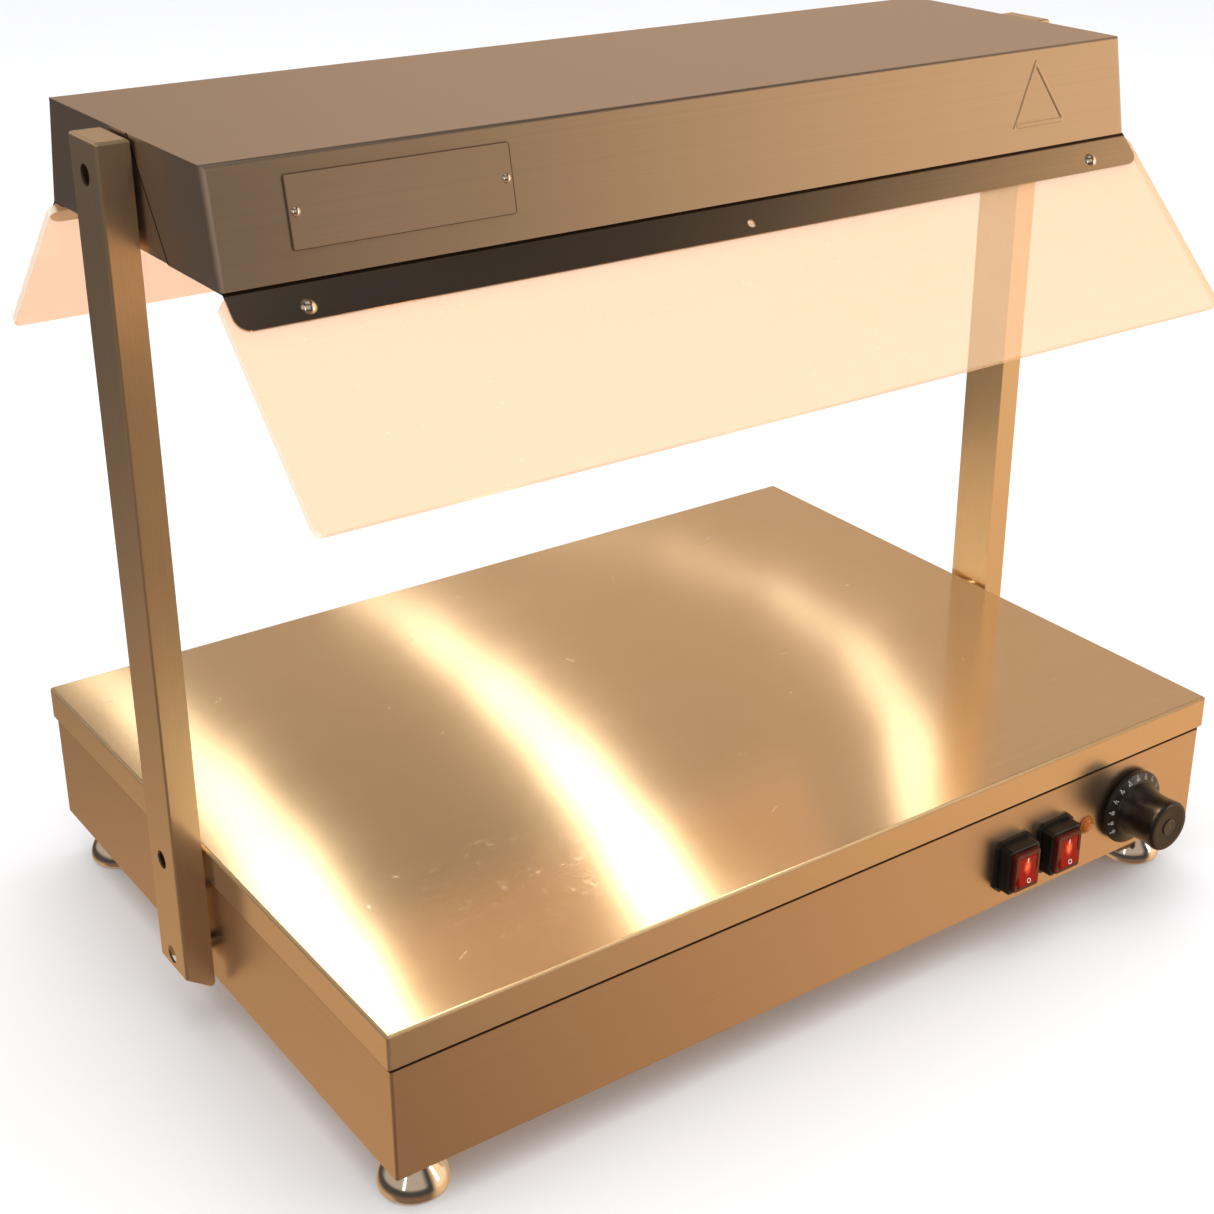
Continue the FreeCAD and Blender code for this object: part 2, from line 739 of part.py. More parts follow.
def spade_terminals():
    """Blade terminals on the backs of the switches and the thermostat."""
    back = -SHELL_FRONT + 27
    blades = []
    for centre in SWITCHES.values():
        for up in (-8, 0, 8):
            x, z = size(centre), size("switch_lift") + up
            blades.append(block((x - 3.1, back, z - 0.4), (x + 3.1, back + 8, z + 0.4)))
    x, z = size("knob_x"), size("knob_lift")
    back = -SHELL_FRONT + size("steel_sheet") + 28
    for side in (-8, 8):
        blades.append(block((x + side - 3.1, back, z - 10), (x + side + 3.1, back + 8, z - 9.2)))
    feature("spade_terminals", Part.makeCompound(blades))


def pilot_lens():
    """The amber lens of the lamp that shows the deck heater is on."""
    body = new_body("pilot_lens", x="pilot_x", z="pilot_lift")
    profile = new_sketch(body, "XY_Plane")
    reach = lambda distance: f"-shell_depth / 2 - ({distance})"
    outline(
        profile,
        [(0, reach(0)), (7, reach(0)), (7, reach(1.6)), (5.6, reach(3.4)), (0, reach(4.2))],
    )
    revolve(body, profile)
    fillet(body, 0.7, lambda edge: near(edge.BoundBox.XMax, 5.6) and near(edge.BoundBox.YLength, 0))


def pilot_body():
    x, z = size("pilot_x"), size("pilot_lift")
    case = rod((x, -SHELL_FRONT, z), (x, -SHELL_FRONT + 26, z), 5.4)
    feature("pilot_body", case)


# ---------------------------------------------------------------- supply and wiring


def cable_gland():
    """The gland that the supply cable enters by: hexagon, domed cap and threaded tail."""
    x, z = size("gland_x"), size("gland_lift")
    bore = size("gland_bore")
    reach = size("gland_reach")
    body = hexagon_nut((x, SHELL_FRONT, z), (0, 1, 0), 22, 8, bore)
    cap = rod((x, SHELL_FRONT + 8, z), (x, SHELL_FRONT + reach, z), 10.4)
    outer = [e for e in cap.Edges if near(e.BoundBox.YMin, SHELL_FRONT + reach)]
    cap = cap.makeFillet(5, outer)
    tail = rod((x, SHELL_FRONT - 12, z), (x, SHELL_FRONT, z), 8)
    gland = body.fuse([cap, tail])
    gland = gland.cut(rod((x, SHELL_FRONT - 13, z), (x, SHELL_FRONT + reach + 1, z), bore))
    feature("cable_gland", gland)


def gland_nut():
    wall = SHELL_FRONT - size("steel_sheet")
    nut = hexagon_nut((size("gland_x"), wall, size("gland_lift")), (0, -1, 0), 22, 5, 8.3)
    feature("gland_nut", nut)


def terminal_block():
    """A five-way block on the bottom cover, with a hole for each conductor and screw."""
    x, y = 200, 170
    block_shape = block((x - 32, y - 10, COVER_TOP), (x + 32, y + 10, COVER_TOP + 18))
    for way in range(5):
        centre = x + 12 * (way - 2)
        block_shape = block_shape.cut(rod((centre, y - 11, 47), (centre, y + 11, 47), 2))
        for row in (-5, 5):
            screw_hole = rod((centre, y + row, 47), (centre, y + row, COVER_TOP + 19), 1.6)
            block_shape = block_shape.cut(screw_hole)
    feature("terminal_block", block_shape)


def earth_stud():
    """The earth bolt on the bottom cover, with its nut."""
    x, y = 280, 190
    stud = rod((x, y, COVER_TOP), (x, y, COVER_TOP + 18), 2.5)
    head = hexagon_nut((x, y, COVER_TOP), (0, 0, 1), 8, 4, 2.3)
    feature("earth_stud", stud.fuse(head).removeSplitter())


def base_wiring():
    """Leads in the base: supply tail, and leads from the block to the controls."""
    gland = size("gland_x")
    lift = size("gland_lift")
    lane = 66
    leads = [tube([(gland, 240, lift), (gland, 215, lift), (224, 196, 47), (224, 180.5, 47)], 2.2, 8)]
    switch_back = -SHELL_FRONT + 35
    dial_back = -SHELL_FRONT + size("steel_sheet") + 36
    ends = [
        (176, size("light_switch_x"), switch_back, size("switch_lift")),
        (188, size("plate_switch_x"), switch_back, size("switch_lift")),
        (212, size("knob_x") - 8, dial_back, size("knob_lift") - 9.6),
    ]
    for start, x, end, height in ends:
        route = [(start, 166, 47), (start, 140, 47), (start, 110, lane),
                 (x, -130, lane), (x, end + 34, height), (x, end, height)]
        leads.append(tube(route, 1.4, 12))
    feature("base_wiring", Part.makeCompound(leads))


def lamp_cable():
    """The cable that leaves the base, climbs the left post and enters the hood."""
    y = size("cable_offset")
    riser = -(STRIP_OUTER + 9)
    low, high = size("cable_low"), size("cable_high")
    route = [(-318, y, low), (riser, y, low), (riser, y, high), (-338, y, high)]
    feature("lamp_cable", tube(route, size("cable_radius"), 11))


# ---------------------------------------------------------------- posts


def post(name, side):
    """A folded channel, closed on top, whose flanges are cut on a slant at the bottom."""
    body = new_body(name)
    inner, outer = "post_inner_x", "(post_inner_x + post_depth)"
    blank = new_sketch(body, "XY_Plane", "post_bottom")
    rectangle(blank, f"{side} * {inner}", f"{side} * {outer}", "-post_width / 2", "post_width / 2")
    pad(body, blank, "post_top - post_bottom")
    web = side * (size("post_inner_x") + size("post_depth"))
    bend = lambda edge: along(edge, (0, 0, 1)) and near(middle(edge).x, web)
    top = lambda edge: near(edge.BoundBox.ZMin, size("post_top"))
    fillet(body, 1.8, lambda edge: bend(edge) or top(edge))
    channel = new_sketch(body, "XY_Plane", "post_bottom")
    half = "post_width / 2 - post_sheet"
    rectangle(
        channel, f"{side} * ({inner} - 1)", f"{side} * ({outer} - post_sheet)", f"-({half})", half
    )
    pocket(body, channel, "post_top - post_bottom - post_sheet", backwards=True)
    slant = new_sketch(body, "XZ_Plane", "post_width")
    low, high = "post_bottom - 1", "post_bottom + post_slant"
    outline(slant, [(f"{side} * {inner}", low), (f"{side} * {outer}", low),
                    (f"{side} * {outer}", high), (f"{side} * {inner}", "post_bottom")])
    pocket(body, slant, "2 * post_width")
    tip = lambda edge: along(edge, (0, 1, 0)) and near(middle(edge).z, size("post_bottom"), 0.3)
    fillet(body, 2.5, tip)
    access = new_sketch(body, "YZ_Plane", f"{side} * 400")
    for level in ("low_bolt", "skirt_bolt", "high_bolt"):
        circle(access, 0, level, "access_radius")
    pocket(body, access, "100", backwards=side < 0)


def post_strip(name, side):
    """The strip that closes the inner side of a post and carries its bolts."""
    body = new_body(name)
    blank = new_sketch(body, "XY_Plane", "post_bottom + 16")
    half = "post_width / 2 - post_sheet"
    rectangle(
        blank, f"{side} * post_inner_x", f"{side} * (post_inner_x + post_sheet)", f"-({half})", half
    )
    pad(body, blank, "post_top - post_bottom - 22")
    holes = new_sketch(body, "YZ_Plane", f"{side} * 400")
    for level in ("low_bolt", "skirt_bolt", "high_bolt"):
        circle(holes, 0, level, "bolt_radius + bolt_clearance")
    if side < 0:
        for level in ("cable_low", "cable_high"):
            circle(holes, "cable_offset", level, "cable_radius + 1")
    pocket(body, holes, "100", backwards=side < 0)


def post_fixings():
    """For each post: two bolts into the base and one into the hood, with spacers and nuts."""
    deck_side = size("deck_width") / 2
    hood_side = size("hood_length") / 2
    hood_wall = hood_side - size("hood_end_sheet")
    base_wall = SHELL_SIDE - size("steel_sheet")
    flap = size("flap_step")
    places = (("low_bolt", SHELL_SIDE, base_wall), ("skirt_bolt", deck_side, base_wall),
              ("high_bolt", hood_side - flap, hood_wall))
    radius = size("bolt_radius")
    bolts, spacers, nuts = [], [], []
    for side in (-1, 1):
        for level, spacer_end, wall in places:
            z = size(level)
            length = STRIP_OUTER - wall + 7.5
            start = (side * STRIP_OUTER, 0, z)
            bolts.append(pan_screw(start, (side, 0, 0), 5.2, 3.3, radius, length))
            sleeve = rod((side * size("post_inner_x"), 0, z), (side * spacer_end, 0, z), 6)
            sleeve = sleeve.cut(rod((side * 300, 0, z), (side * 400, 0, z), radius + 0.35))
            spacers.append(sleeve)
            nuts.append(hexagon_nut((side * wall, 0, z), (-side, 0, 0), 10, 5, radius + 0.3))
    feature("post_bolts", Part.makeCompound(bolts))
    feature("post_spacers", Part.makeCompound(spacers))
    feature("post_nuts", Part.makeCompound(nuts))


# ---------------------------------------------------------------- hood


def hood_shell():
    """The folded hood: flared sides, rounded bends, overlapping end flaps, flanges turned in,
    and a plain raised triangle on the front face."""
    body = new_body("hood_shell")
    top, bottom = "hood_bottom + hood_height", "hood_bottom"
    narrow, wide = "hood_top_depth / 2", "hood_top_depth / 2 + hood_flare"
    section = new_sketch(body, "YZ_Plane", "-hood_length / 2")
    outline(section, [(f"-({wide})", bottom), (wide, bottom), (narrow, top), (f"-({narrow})", top)])
    pad(body, section, "hood_length")
    end = size("hood_length") / 2
    long_top = lambda edge: along(edge, (1, 0, 0)) and near(middle(edge).z, HOOD_TOP)
    corner = lambda edge: near(abs(middle(edge).x), end) and 20 < edge.BoundBox.ZLength
    fillet(body, "hood_bend", lambda edge: long_top(edge) or corner(edge))
    inner = new_sketch(body, "YZ_Plane", "-hood_length / 2 + hood_end_sheet")
    base, roof = "hood_bottom + steel_sheet", "hood_bottom + hood_height - hood_sheet"
    outline(inner, [
        (f"-({wide} - 1.8)", base), (f"{wide} - 1.8", base),
        (f"{narrow} - 1.2", roof), (f"-({narrow} - 1.2)", roof),
    ])
    pocket(body, inner, "hood_length - 2 * hood_end_sheet", backwards=True)
    mouth = new_sketch(body, "XY_Plane", "hood_bottom + 3 * steel_sheet")
    centred_rectangle(
        mouth, "hood_length - 2 * hood_end_sheet - 2 * hood_flange",
        "hood_top_depth + 2 * hood_flare - 2 * hood_flange - 3",
    )
    pocket(body, mouth, "4 * steel_sheet")
    for side in (-1, 1):
        flap = new_sketch(body, "YZ_Plane", f"{side} * hood_length / 2")
        outline(flap, [(-54.1, "hood_bottom - 1"), (140, "hood_bottom - 1"),
                       (140, f"{top} - 1.4"), (-12.4, f"{top} - 1.4")])
        pocket(body, flap, "flap_step", backwards=side < 0)
    bolts = new_sketch(body, "YZ_Plane", "hood_length / 2 + 1")
    circle(bolts, 0, "high_bolt", "bolt_radius + bolt_clearance")
    pocket(body, bolts, "hood_length + 2")
    cable = new_sketch(body, "YZ_Plane", "-hood_length / 2 - 1")
    circle(cable, "cable_offset", "cable_high", "cable_radius + 1")
    pocket(body, cable, "10", backwards=True)
    screws = new_sketch(body, "XY_Plane", "hood_bottom + 3 * steel_sheet")
    for x, y in GUARD_SCREWS:
        circle(screws, x, y, 2.3)
    pocket(body, screws, "4 * steel_sheet")
    plate = hood_face_sketch(body)
    for x in NAMEPLATE_SCREWS:
        circle(plate, x, 2.8, 1.6)
    pocket(body, plate, "4")
    raised = hood_face_sketch(body, lift=0.0)
    outline(raised, [(241, -18), (292, -18), (266.5, 26)])
    outline(raised, [(245, -15.8), (288, -15.8), (266.5, 21.4)])
    pad(body, raised, "0.4")


def hood_face_sketch(body, lift=1.0):
    """A sketch on the hood's sloping front face, its origin at the face's middle."""
    lean = 90 - HOOD_LEAN
    tilt = math.radians(HOOD_LEAN)
    origin = (
        0,
        -HOOD_EDGE + size("hood_flare") / 2 - lift * math.cos(tilt),
        size("hood_bottom") + size("hood_height") / 2 + lift * math.sin(tilt),
    )
    return new_sketch(body, "XY_Plane", lean=lean, origin=origin)


def nameplate():
    """The plate on the hood's front face, left blank."""
    body = new_body("nameplate")
    plate = hood_face_sketch(body, lift=0.0)
    rectangle(plate, -306, -163, -18, 23.5)
    pad(body, plate, "0.9")
    across = lambda edge: near(edge.Length, 0.9)
    fillet(body, 2, across)
    holes = hood_face_sketch(body, lift=2.0)
    for x in NAMEPLATE_SCREWS:
        circle(holes, x, 2.8, 1.6)
    pocket(body, holes, "4")


def nameplate_screws():
    tilt = math.radians(HOOD_LEAN)
    normal = Vector(0, -math.cos(tilt), math.sin(tilt))
    upward = Vector(0, math.sin(tilt), math.cos(tilt))
    face = Vector(0, -HOOD_EDGE + size("hood_flare") / 2,
                  size("hood_bottom") + size("hood_height") / 2)
    screws = []
    for x in NAMEPLATE_SCREWS:
        seat = face + upward * 2.8 + normal * 0.9 + Vector(x, 0, 0)
        screws.append(dome_screw(tuple(seat), tuple(normal), 2.9, 1.7, 1.3, 6))
    feature("nameplate_screws", Part.makeCompound(screws))


def reflector():
    """The polished trough above the lamps, closed at both ends."""
    body = new_body("reflector")
    section = new_sketch(body, "YZ_Plane", "-reflector_length / 2")
    low, high = "hood_bottom + 1.5", "hood_bottom + 49"
    outline(section, [(-112, low), (112, low), (62, high), (-62, high)])
    pad(body, section, "reflector_length")
    hollow = new_sketch(body, "YZ_Plane", "-reflector_length / 2 + reflector_sheet")
    outline(hollow, [(-112, f"{low} - 1.1"), (112, f"{low} - 1.1"),
                     (61.5, f"{high} - reflector_sheet"), (-61.5, f"{high} - reflector_sheet")])
    pocket(body, hollow, "reflector_length - 2 * reflector_sheet", backwards=True)


def lamp(name, side):
    """A double-ended quartz lamp along X: the tube and its two ceramic ends."""
    x, z = side * size("lamp_x"), size("lamp_lift")
    half, radius = size("lamp_length") / 2, size("lamp_radius")
    glass = rod((x - half + 14, 0, z), (x + half - 14, 0, z), radius)
    rims = [e for e in glass.Edges if near(e.BoundBox.XLength, 0)]
    glass = glass.makeFillet(3, rims)
    pinch = block((x - half + 6, -3.6, z - 1.4), (x + half - 6, 3.6, z + 1.4))
    ends = [rod((x + s * half, 0, z), (x + s * (half - 9), 0, z), 3.6) for s in (-1, 1)]
    feature(name, glass.fuse([pinch] + ends).removeSplitter())


def lamp_holders(name, side):
    """The ceramic blocks that grip the ends of a lamp."""
    x, z = side * size("lamp_x"), size("lamp_lift")
    half = size("lamp_length") / 2
    holders = []
    for end in (-1, 1):
        seat = x + end * (half + 0.3)
        far = seat + end * 12
        low, high = min(seat, far), max(seat, far)
        ceramic = block((low, -9, z - 8), (high, 9, z + 12))
        holders.append(ceramic.makeFillet(1.5, [e for e in ceramic.Edges if along(e, (1, 0, 0))]))
    feature(name, Part.makeCompound(holders))


def lamp_brackets():
    """Bent straps that hang each pair of holders from the reflector's roof."""
    roof = size("hood_bottom") + 49 - size("reflector_sheet")
    top_of_holder = size("lamp_lift") + 12
    reach = size("lamp_length") / 2 + 12.3
    straps = []
    for side in (-1, 1):
        x = side * size("lamp_x")
        bridge = block((x - reach, -10, roof - 1.2), (x + reach, 10, roof))
        legs = []
        for end in (-1, 1):
            outer, inner = sorted((x + end * reach, x + end * (reach - 1.2)))
            legs.append(block((outer, -10, top_of_holder), (inner, 10, roof - 1.2)))
            near_x, far_x = sorted((x + end * (reach - 12), x + end * reach))
            legs.append(block((near_x, -10, top_of_holder), (far_x, 10, top_of_holder + 1.2)))
        straps.append(bridge.fuse(legs).removeSplitter())
    feature("lamp_brackets", Part.makeCompound(straps))


def lamp_guard():
    """The wire guard under the lamps: a flat frame with crossing rods."""
    top = size("hood_bottom")
    length, width, bar = 346, 100, 10
    frame = block((-length, -width, top - 1.5), (length, width, top))
    window = block((-length + bar, -width + bar, top - 2), (length - bar, width - bar, top + 1))
    frame = frame.cut(window)
    for x, y in GUARD_SCREWS:
        frame = frame.cut(rod((x, y, top - 3), (x, y, top + 1), 2.3))
    lift = top - 0.75
    rods = [rod((x, -width + 2, lift), (x, width - 2, lift), 0.9) for x in range(-320, 321, 20)]
    rails = [rod((-length + 2, y, lift), (length - 2, y, lift), 0.9) for y in (-45, 0, 45)]
    inner = block((-length + bar, -width + bar, top - 4), (length - bar, width - bar, top + 4))
    wires = rods[0].multiFuse(rods[1:] + rails).common(inner)
    feature("lamp_guard", frame.fuse(wires))


def guard_screws():
    under = size("hood_bottom") - 1.5
    screws = [pan_screw((x, y, under), (0, 0, -1), 3.8, 2.6, 2, 8) for x, y in GUARD_SCREWS]
    feature("guard_screws", Part.makeCompound(screws))


# ---------------------------------------------------------------- glass guards


def guard_sketch(body, side, depth):
    """A sketch on the guard's slope, depth below the outer face. Local Y is zero at the hood."""
    slope = math.radians(size("guard_slope"))
    origin = (
        0,
        side * (HOOD_EDGE - depth * math.sin(slope)),
        size("hood_bottom") - depth * math.cos(slope),
    )
    return new_sketch(body, "XY_Plane", lean=-side * size("guard_slope"), origin=origin)


def down(side, distance):
    """The local Y of a point this far down the slope."""
    return f"{side} * ({distance})"


def screw_holes(body, side, radius):
    holes = guard_sketch(body, side, -2.0)
    for x in ("-guard_screw_x", "0", "guard_screw_x"):
        circle(holes, x, down(side, "guard_screw_drop"), radius)
    pocket(body, holes, "12")


def glass_rail(name, side):
    """The steel strip along the hood's edge that grips the top of a glass guard."""
    body = new_body(name)
    leg = new_sketch(body, "XY_Plane", "hood_bottom - steel_sheet")
    edge = "hood_top_depth / 2 + hood_flare"
    rectangle(leg, "-rail_length / 2", "rail_length / 2",
              f"{side} * ({edge} - rail_leg)", f"{side} * ({edge} - 0.6)")
    pad(body, leg, "steel_sheet")
    slope = guard_sketch(body, side, 0.0)
    rectangle(slope, "-rail_length / 2", "rail_length / 2", down(side, "0"), down(side, "rail_drop"))
    pad(body, slope, "steel_sheet", backwards=True)
    lower = lambda e: near(e.Length, size("steel_sheet")) and middle(e).z < size("hood_bottom") - 10
    fillet(body, 9, lower)
    screw_holes(body, side, 2.8)


def glass_panel(name, side):
    """A clear guard panel with rounded corners, hung under its rail."""
    body = new_body(name)
    face = guard_sketch(body, side, size("steel_sheet"))
    rectangle(face, "-glass_width / 2", "glass_width / 2",
              down(side, "glass_top"), down(side, "glass_drop"))
    pad(body, face, "glass_thickness", backwards=True)
    across = lambda e: near(e.Length, size("glass_thickness"))
    fillet(body, 6, across)
    screw_holes(body, side, 2.8)


def guard_fixings():
    """Domed screws through the rails and the glass, with nuts behind the glass."""
    slope = math.radians(size("guard_slope"))
    drop = size("guard_screw_drop")
    behind = size("steel_sheet") + size("glass_thickness")
    screws, nuts = [], []
    for side in (-1, 1):
        normal = Vector(0, side * math.sin(slope), math.cos(slope))
        downhill = Vector(0, side * math.cos(slope), -math.sin(slope))
        for x in (-size("guard_screw_x"), size("guard_screw_x")):
            seat = Vector(x, side * HOOD_EDGE, size("hood_bottom")) + downhill * drop
            screws.append(dome_screw(tuple(seat), tuple(normal), 4.8, 3.2, 2.4, behind + 6))
            back = seat - normal * behind
            nuts.append(hexagon_nut(tuple(back), tuple(-normal), 8, 4, 2.7))
    feature("glass_screws", Part.makeCompound(screws))
    feature("glass_nuts", Part.makeCompound(nuts))


# ---------------------------------------------------------------- build and write


def build():
    deck_plate()
    base_shell()
    bottom_cover()
    feet()
    foot_pads()
    foot_nuts()
    bottom_cover_screws()
    deck_heater_mat()
    insulation_pad()
    heater_clamp_plate()
    deck_studs()
    deck_stud_nuts()
    thermostat_body()
    thermostat_shaft()
    thermostat_knob()
    knob_cap()
    thermostat_screws()
    thermostat_bulb()
    switches()
    spade_terminals()
    pilot_lens()
    pilot_body()
    cable_gland()
    gland_nut()
    terminal_block()
    earth_stud()
    base_wiring()
    lamp_cable()
    for side_name, side in (("left", -1), ("right", 1)):
        post(f"{side_name}_post", side)
        post_strip(f"{side_name}_post_strip", side)
        lamp(f"{side_name}_lamp", side)
        lamp_holders(f"{side_name}_lamp_holders", side)
    post_fixings()
    hood_shell()
    nameplate()
    nameplate_screws()
    reflector()
    lamp_brackets()
    lamp_guard()
    guard_screws()
    for side_name, side in (("front", -1), ("rear", 1)):
        glass_rail(f"{side_name}_glass_rail", side)
        glass_panel(f"{side_name}_glass", side)
    guard_fixings()


def check():
    """Stops before anything is written if an object failed or a shape is not sound."""
    for item in doc.Objects:
        if "Invalid" in item.State or "Error" in item.State:
            raise RuntimeError(f"{item.Name} failed: {item.State}")
    for item in NODES:
        if item.Shape.isNull() or not item.Shape.isValid() or not item.Shape.Solids:
            raise RuntimeError(f"{item.Label} has no sound solid")


def write():
    os.makedirs("parts", exist_ok=True)
    for item in NODES:
        item.Shape.exportStep(f"parts/{item.Label}.step")
        box = item.Shape.BoundBox
        solids = len(item.Shape.Solids)
        span = f"{box.XLength:7.1f} {box.YLength:7.1f} {box.ZLength:7.1f}"
        print(f"{item.Label:22s} {solids:3d} solids  {span}")
    print(len(NODES), "nodes")


build()
doc.recompute()
check()
write()
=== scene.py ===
# %% [markdown]
# # A heat lamp warmer
#
# A food warmer for a counter. Dishes stand on a heated steel deck, two posts carry a hood with two
# halogen lamps, and clear panels along the hood keep draughts and breath off the food.
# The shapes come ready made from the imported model. This lesson paints them, makes the few
# rounded pieces that deserve finer curves, and sets up the camera and the light.

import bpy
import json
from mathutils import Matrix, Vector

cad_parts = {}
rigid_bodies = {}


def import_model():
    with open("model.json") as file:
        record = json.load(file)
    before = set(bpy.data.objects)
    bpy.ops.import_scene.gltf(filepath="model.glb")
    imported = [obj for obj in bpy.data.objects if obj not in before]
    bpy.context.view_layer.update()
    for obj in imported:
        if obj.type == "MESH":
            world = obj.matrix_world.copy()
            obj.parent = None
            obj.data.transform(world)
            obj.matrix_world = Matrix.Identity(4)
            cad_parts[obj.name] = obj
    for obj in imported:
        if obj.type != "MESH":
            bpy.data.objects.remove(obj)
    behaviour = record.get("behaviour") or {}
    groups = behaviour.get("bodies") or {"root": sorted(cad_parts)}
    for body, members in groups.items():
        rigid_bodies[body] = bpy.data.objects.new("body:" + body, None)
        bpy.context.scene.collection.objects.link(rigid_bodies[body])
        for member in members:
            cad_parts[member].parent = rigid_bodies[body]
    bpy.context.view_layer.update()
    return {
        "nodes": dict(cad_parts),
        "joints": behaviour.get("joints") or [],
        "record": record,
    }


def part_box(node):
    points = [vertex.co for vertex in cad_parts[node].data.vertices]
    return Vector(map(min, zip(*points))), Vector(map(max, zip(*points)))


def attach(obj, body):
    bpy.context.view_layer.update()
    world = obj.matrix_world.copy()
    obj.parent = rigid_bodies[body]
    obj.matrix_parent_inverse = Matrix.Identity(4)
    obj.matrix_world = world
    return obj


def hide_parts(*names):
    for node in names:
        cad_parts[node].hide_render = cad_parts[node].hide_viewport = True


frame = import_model()

# %% The libraries and the main measures
import json
import math

import bpy
from mathutils import Matrix, Vector

MM = 0.001
deck_low, deck_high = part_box("deck_plate")
shell_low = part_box("base_shell")[0]
hood_low, hood_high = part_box("hood_shell")
deck_middle = (deck_low + deck_high) / 2
DECK_TOP = deck_high.z
MIDDLE_Y = deck_middle.y
print(f"deck {deck_high.x - deck_low.x:.3f} m wide, its top {DECK_TOP:.3f} m above the floor")

# %% [markdown]
# ## The camera
# A viewpoint is easiest to describe from the thing itself: how far to the side, to the front and
# above. The lens is given as a focal length on a 36 mm sensor, and a small shift slides the picture
# on the sensor without turning the camera, as a view camera's back does.

# %% The camera
CAMERA_FROM_DECK = Vector((-0.7728, -1.0894, 0.8535))
CAMERA_TURN = math.radians(36.58)
CAMERA_TILT = math.radians(24.44)
CAMERA_ROLL = math.radians(0.56)

eye = bpy.data.cameras.new("eye")
eye.lens = 59.59
eye.sensor_width = 36
eye.shift_x = -0.05
eye.shift_y = -0.035
camera = bpy.data.objects.new("camera", eye)
bpy.context.scene.collection.objects.link(camera)
camera_at = CAMERA_FROM_DECK + Vector((0, MIDDLE_Y, 0))
level = math.pi / 2 - CAMERA_TILT
turned = Matrix.Rotation(-CAMERA_TURN, 4, "Z") @ Matrix.Rotation(level, 4, "X")
camera.matrix_world = Matrix.Translation(camera_at) @ turned @ Matrix.Rotation(CAMERA_ROLL, 4, "Z")
bpy.context.scene.camera = camera
print(f"camera {camera_at.length:.2f} m from the origin")

# %% [markdown]
# ## Shader maths as Python
# A node tree is a formula drawn with boxes. It is shorter to write the formula itself. `Wire` wraps
# the output of a node, and each Python operator on it adds the Math node that does the same.
# `Paint` holds one material, and its `node` method makes any node there is.


# %% A wire and a paint
class Wire:
    """The output of a node. Operators on it add Math nodes."""

    def __init__(self, paint, socket):
        self.paint = paint
        self.socket = socket

    def math(self, operation, first, second=0.0):
        return self.paint.node("ShaderNodeMath", {"operation": operation}, {0: first, 1: second})

    def __add__(self, other):
        return self.math("ADD", self, other)

    def __sub__(self, other):
        return self.math("SUBTRACT", self, other)

    def __rsub__(self, other):
        return self.math("SUBTRACT", other, self)

    def __mul__(self, other):
        return self.math("MULTIPLY", self, other)

    def __gt__(self, other):
        return self.math("GREATER_THAN", self, other)

    def __lt__(self, other):
        return self.math("LESS_THAN", self, other)

    __radd__ = __add__
    __rmul__ = __mul__

    def size(self):
        return self.math("ABSOLUTE", self)

    def between(self, low, high):
        """0 below low, 1 above high, and a smooth climb between them."""
        ends = {"From Min": low, "From Max": high}
        return self.paint.node(
            "ShaderNodeMapRange", {"interpolation_type": "SMOOTHSTEP"}, {"Value": self} | ends
        )


class Paint:
    """One material or world: a tree of nodes that ends in one shader."""

    def __init__(self, name, owner=None):
        self.owner = owner or bpy.data.materials.new(name)
        self.owner.use_nodes = True
        self.tree = self.owner.node_tree
        self.tree.nodes.clear()

    def node(self, kind, settings=None, sockets=None, out=0):
        """Adds a node: its settings first, then the value or the wire of each socket."""
        made = self.tree.nodes.new(kind)
        for name, value in (settings or {}).items():
            setattr(made, name, value)
        for name, value in (sockets or {}).items():
            if isinstance(value, Wire):
                self.tree.links.new(value.socket, made.inputs[name])
            else:
                made.inputs[name].default_value = value
        return Wire(self, made.outputs[out]) if made.outputs else None

    def vector(self, operation, *parts, out=0):
        sockets = dict(enumerate(parts))
        return self.node("ShaderNodeVectorMath", {"operation": operation}, sockets, out)

    def dot(self, first, second):
        return self.vector("DOT_PRODUCT", first, second, out="Value")

    def mix(self, share, first, second):
        """A blend of two colours."""
        settings = {"data_type": "RGBA"}
        return self.node("ShaderNodeMix", settings, {0: share, 6: first, 7: second}, out=2)

    def place(self):
        """Where the point is on the object, in metres."""
        return self.node("ShaderNodeTexCoord", out="Object")

    def facing(self):
        """The direction that the surface faces, before any bump."""
        return self.node("ShaderNodeNewGeometry", out="True Normal")

    def noise(self, where, scale, detail=2.0, roughness=0.5):
        sockets = {"Vector": where, "Scale": scale, "Detail": detail, "Roughness": roughness}
        return self.node("ShaderNodeTexNoise", None, sockets, out=0)

    def stretched(self, where, *scales):
        return self.vector("MULTIPLY", where, scales)

    def bump(self, height, depth, strength=1.0):
        sockets = {"Height": height, "Distance": depth, "Strength": strength}
        return self.node("ShaderNodeBump", None, sockets)

    def principled(self, **sockets):
        """The main shader. Underscores in the names stand for spaces."""
        named = {name.replace("_", " "): value for name, value in sockets.items()}
        return self.node("ShaderNodeBsdfPrincipled", None, named)

    def finish(self, shader, kind="Material"):
        self.node(f"ShaderNodeOutput{kind}", None, {"Surface": shader})
        return self.owner


def colour(red, green, blue):
    """A colour as a four-part value."""
    return (red, green, blue, 1.0)


print("Wire and Paint are ready")

# %% [markdown]
# ## Brushed steel
# Brushing leaves fine parallel grooves. They are finer than the eye can part at this distance, so
# the sheet looks satin, with faint streaks along the grain. A noise that is stretched a
# thousandfold along the grain gives the streaks: they change the colour and the gloss a little,
# and a very shallow bump lets them glint. The grain runs along X, on the ends along Y, and on
# the posts along Z.


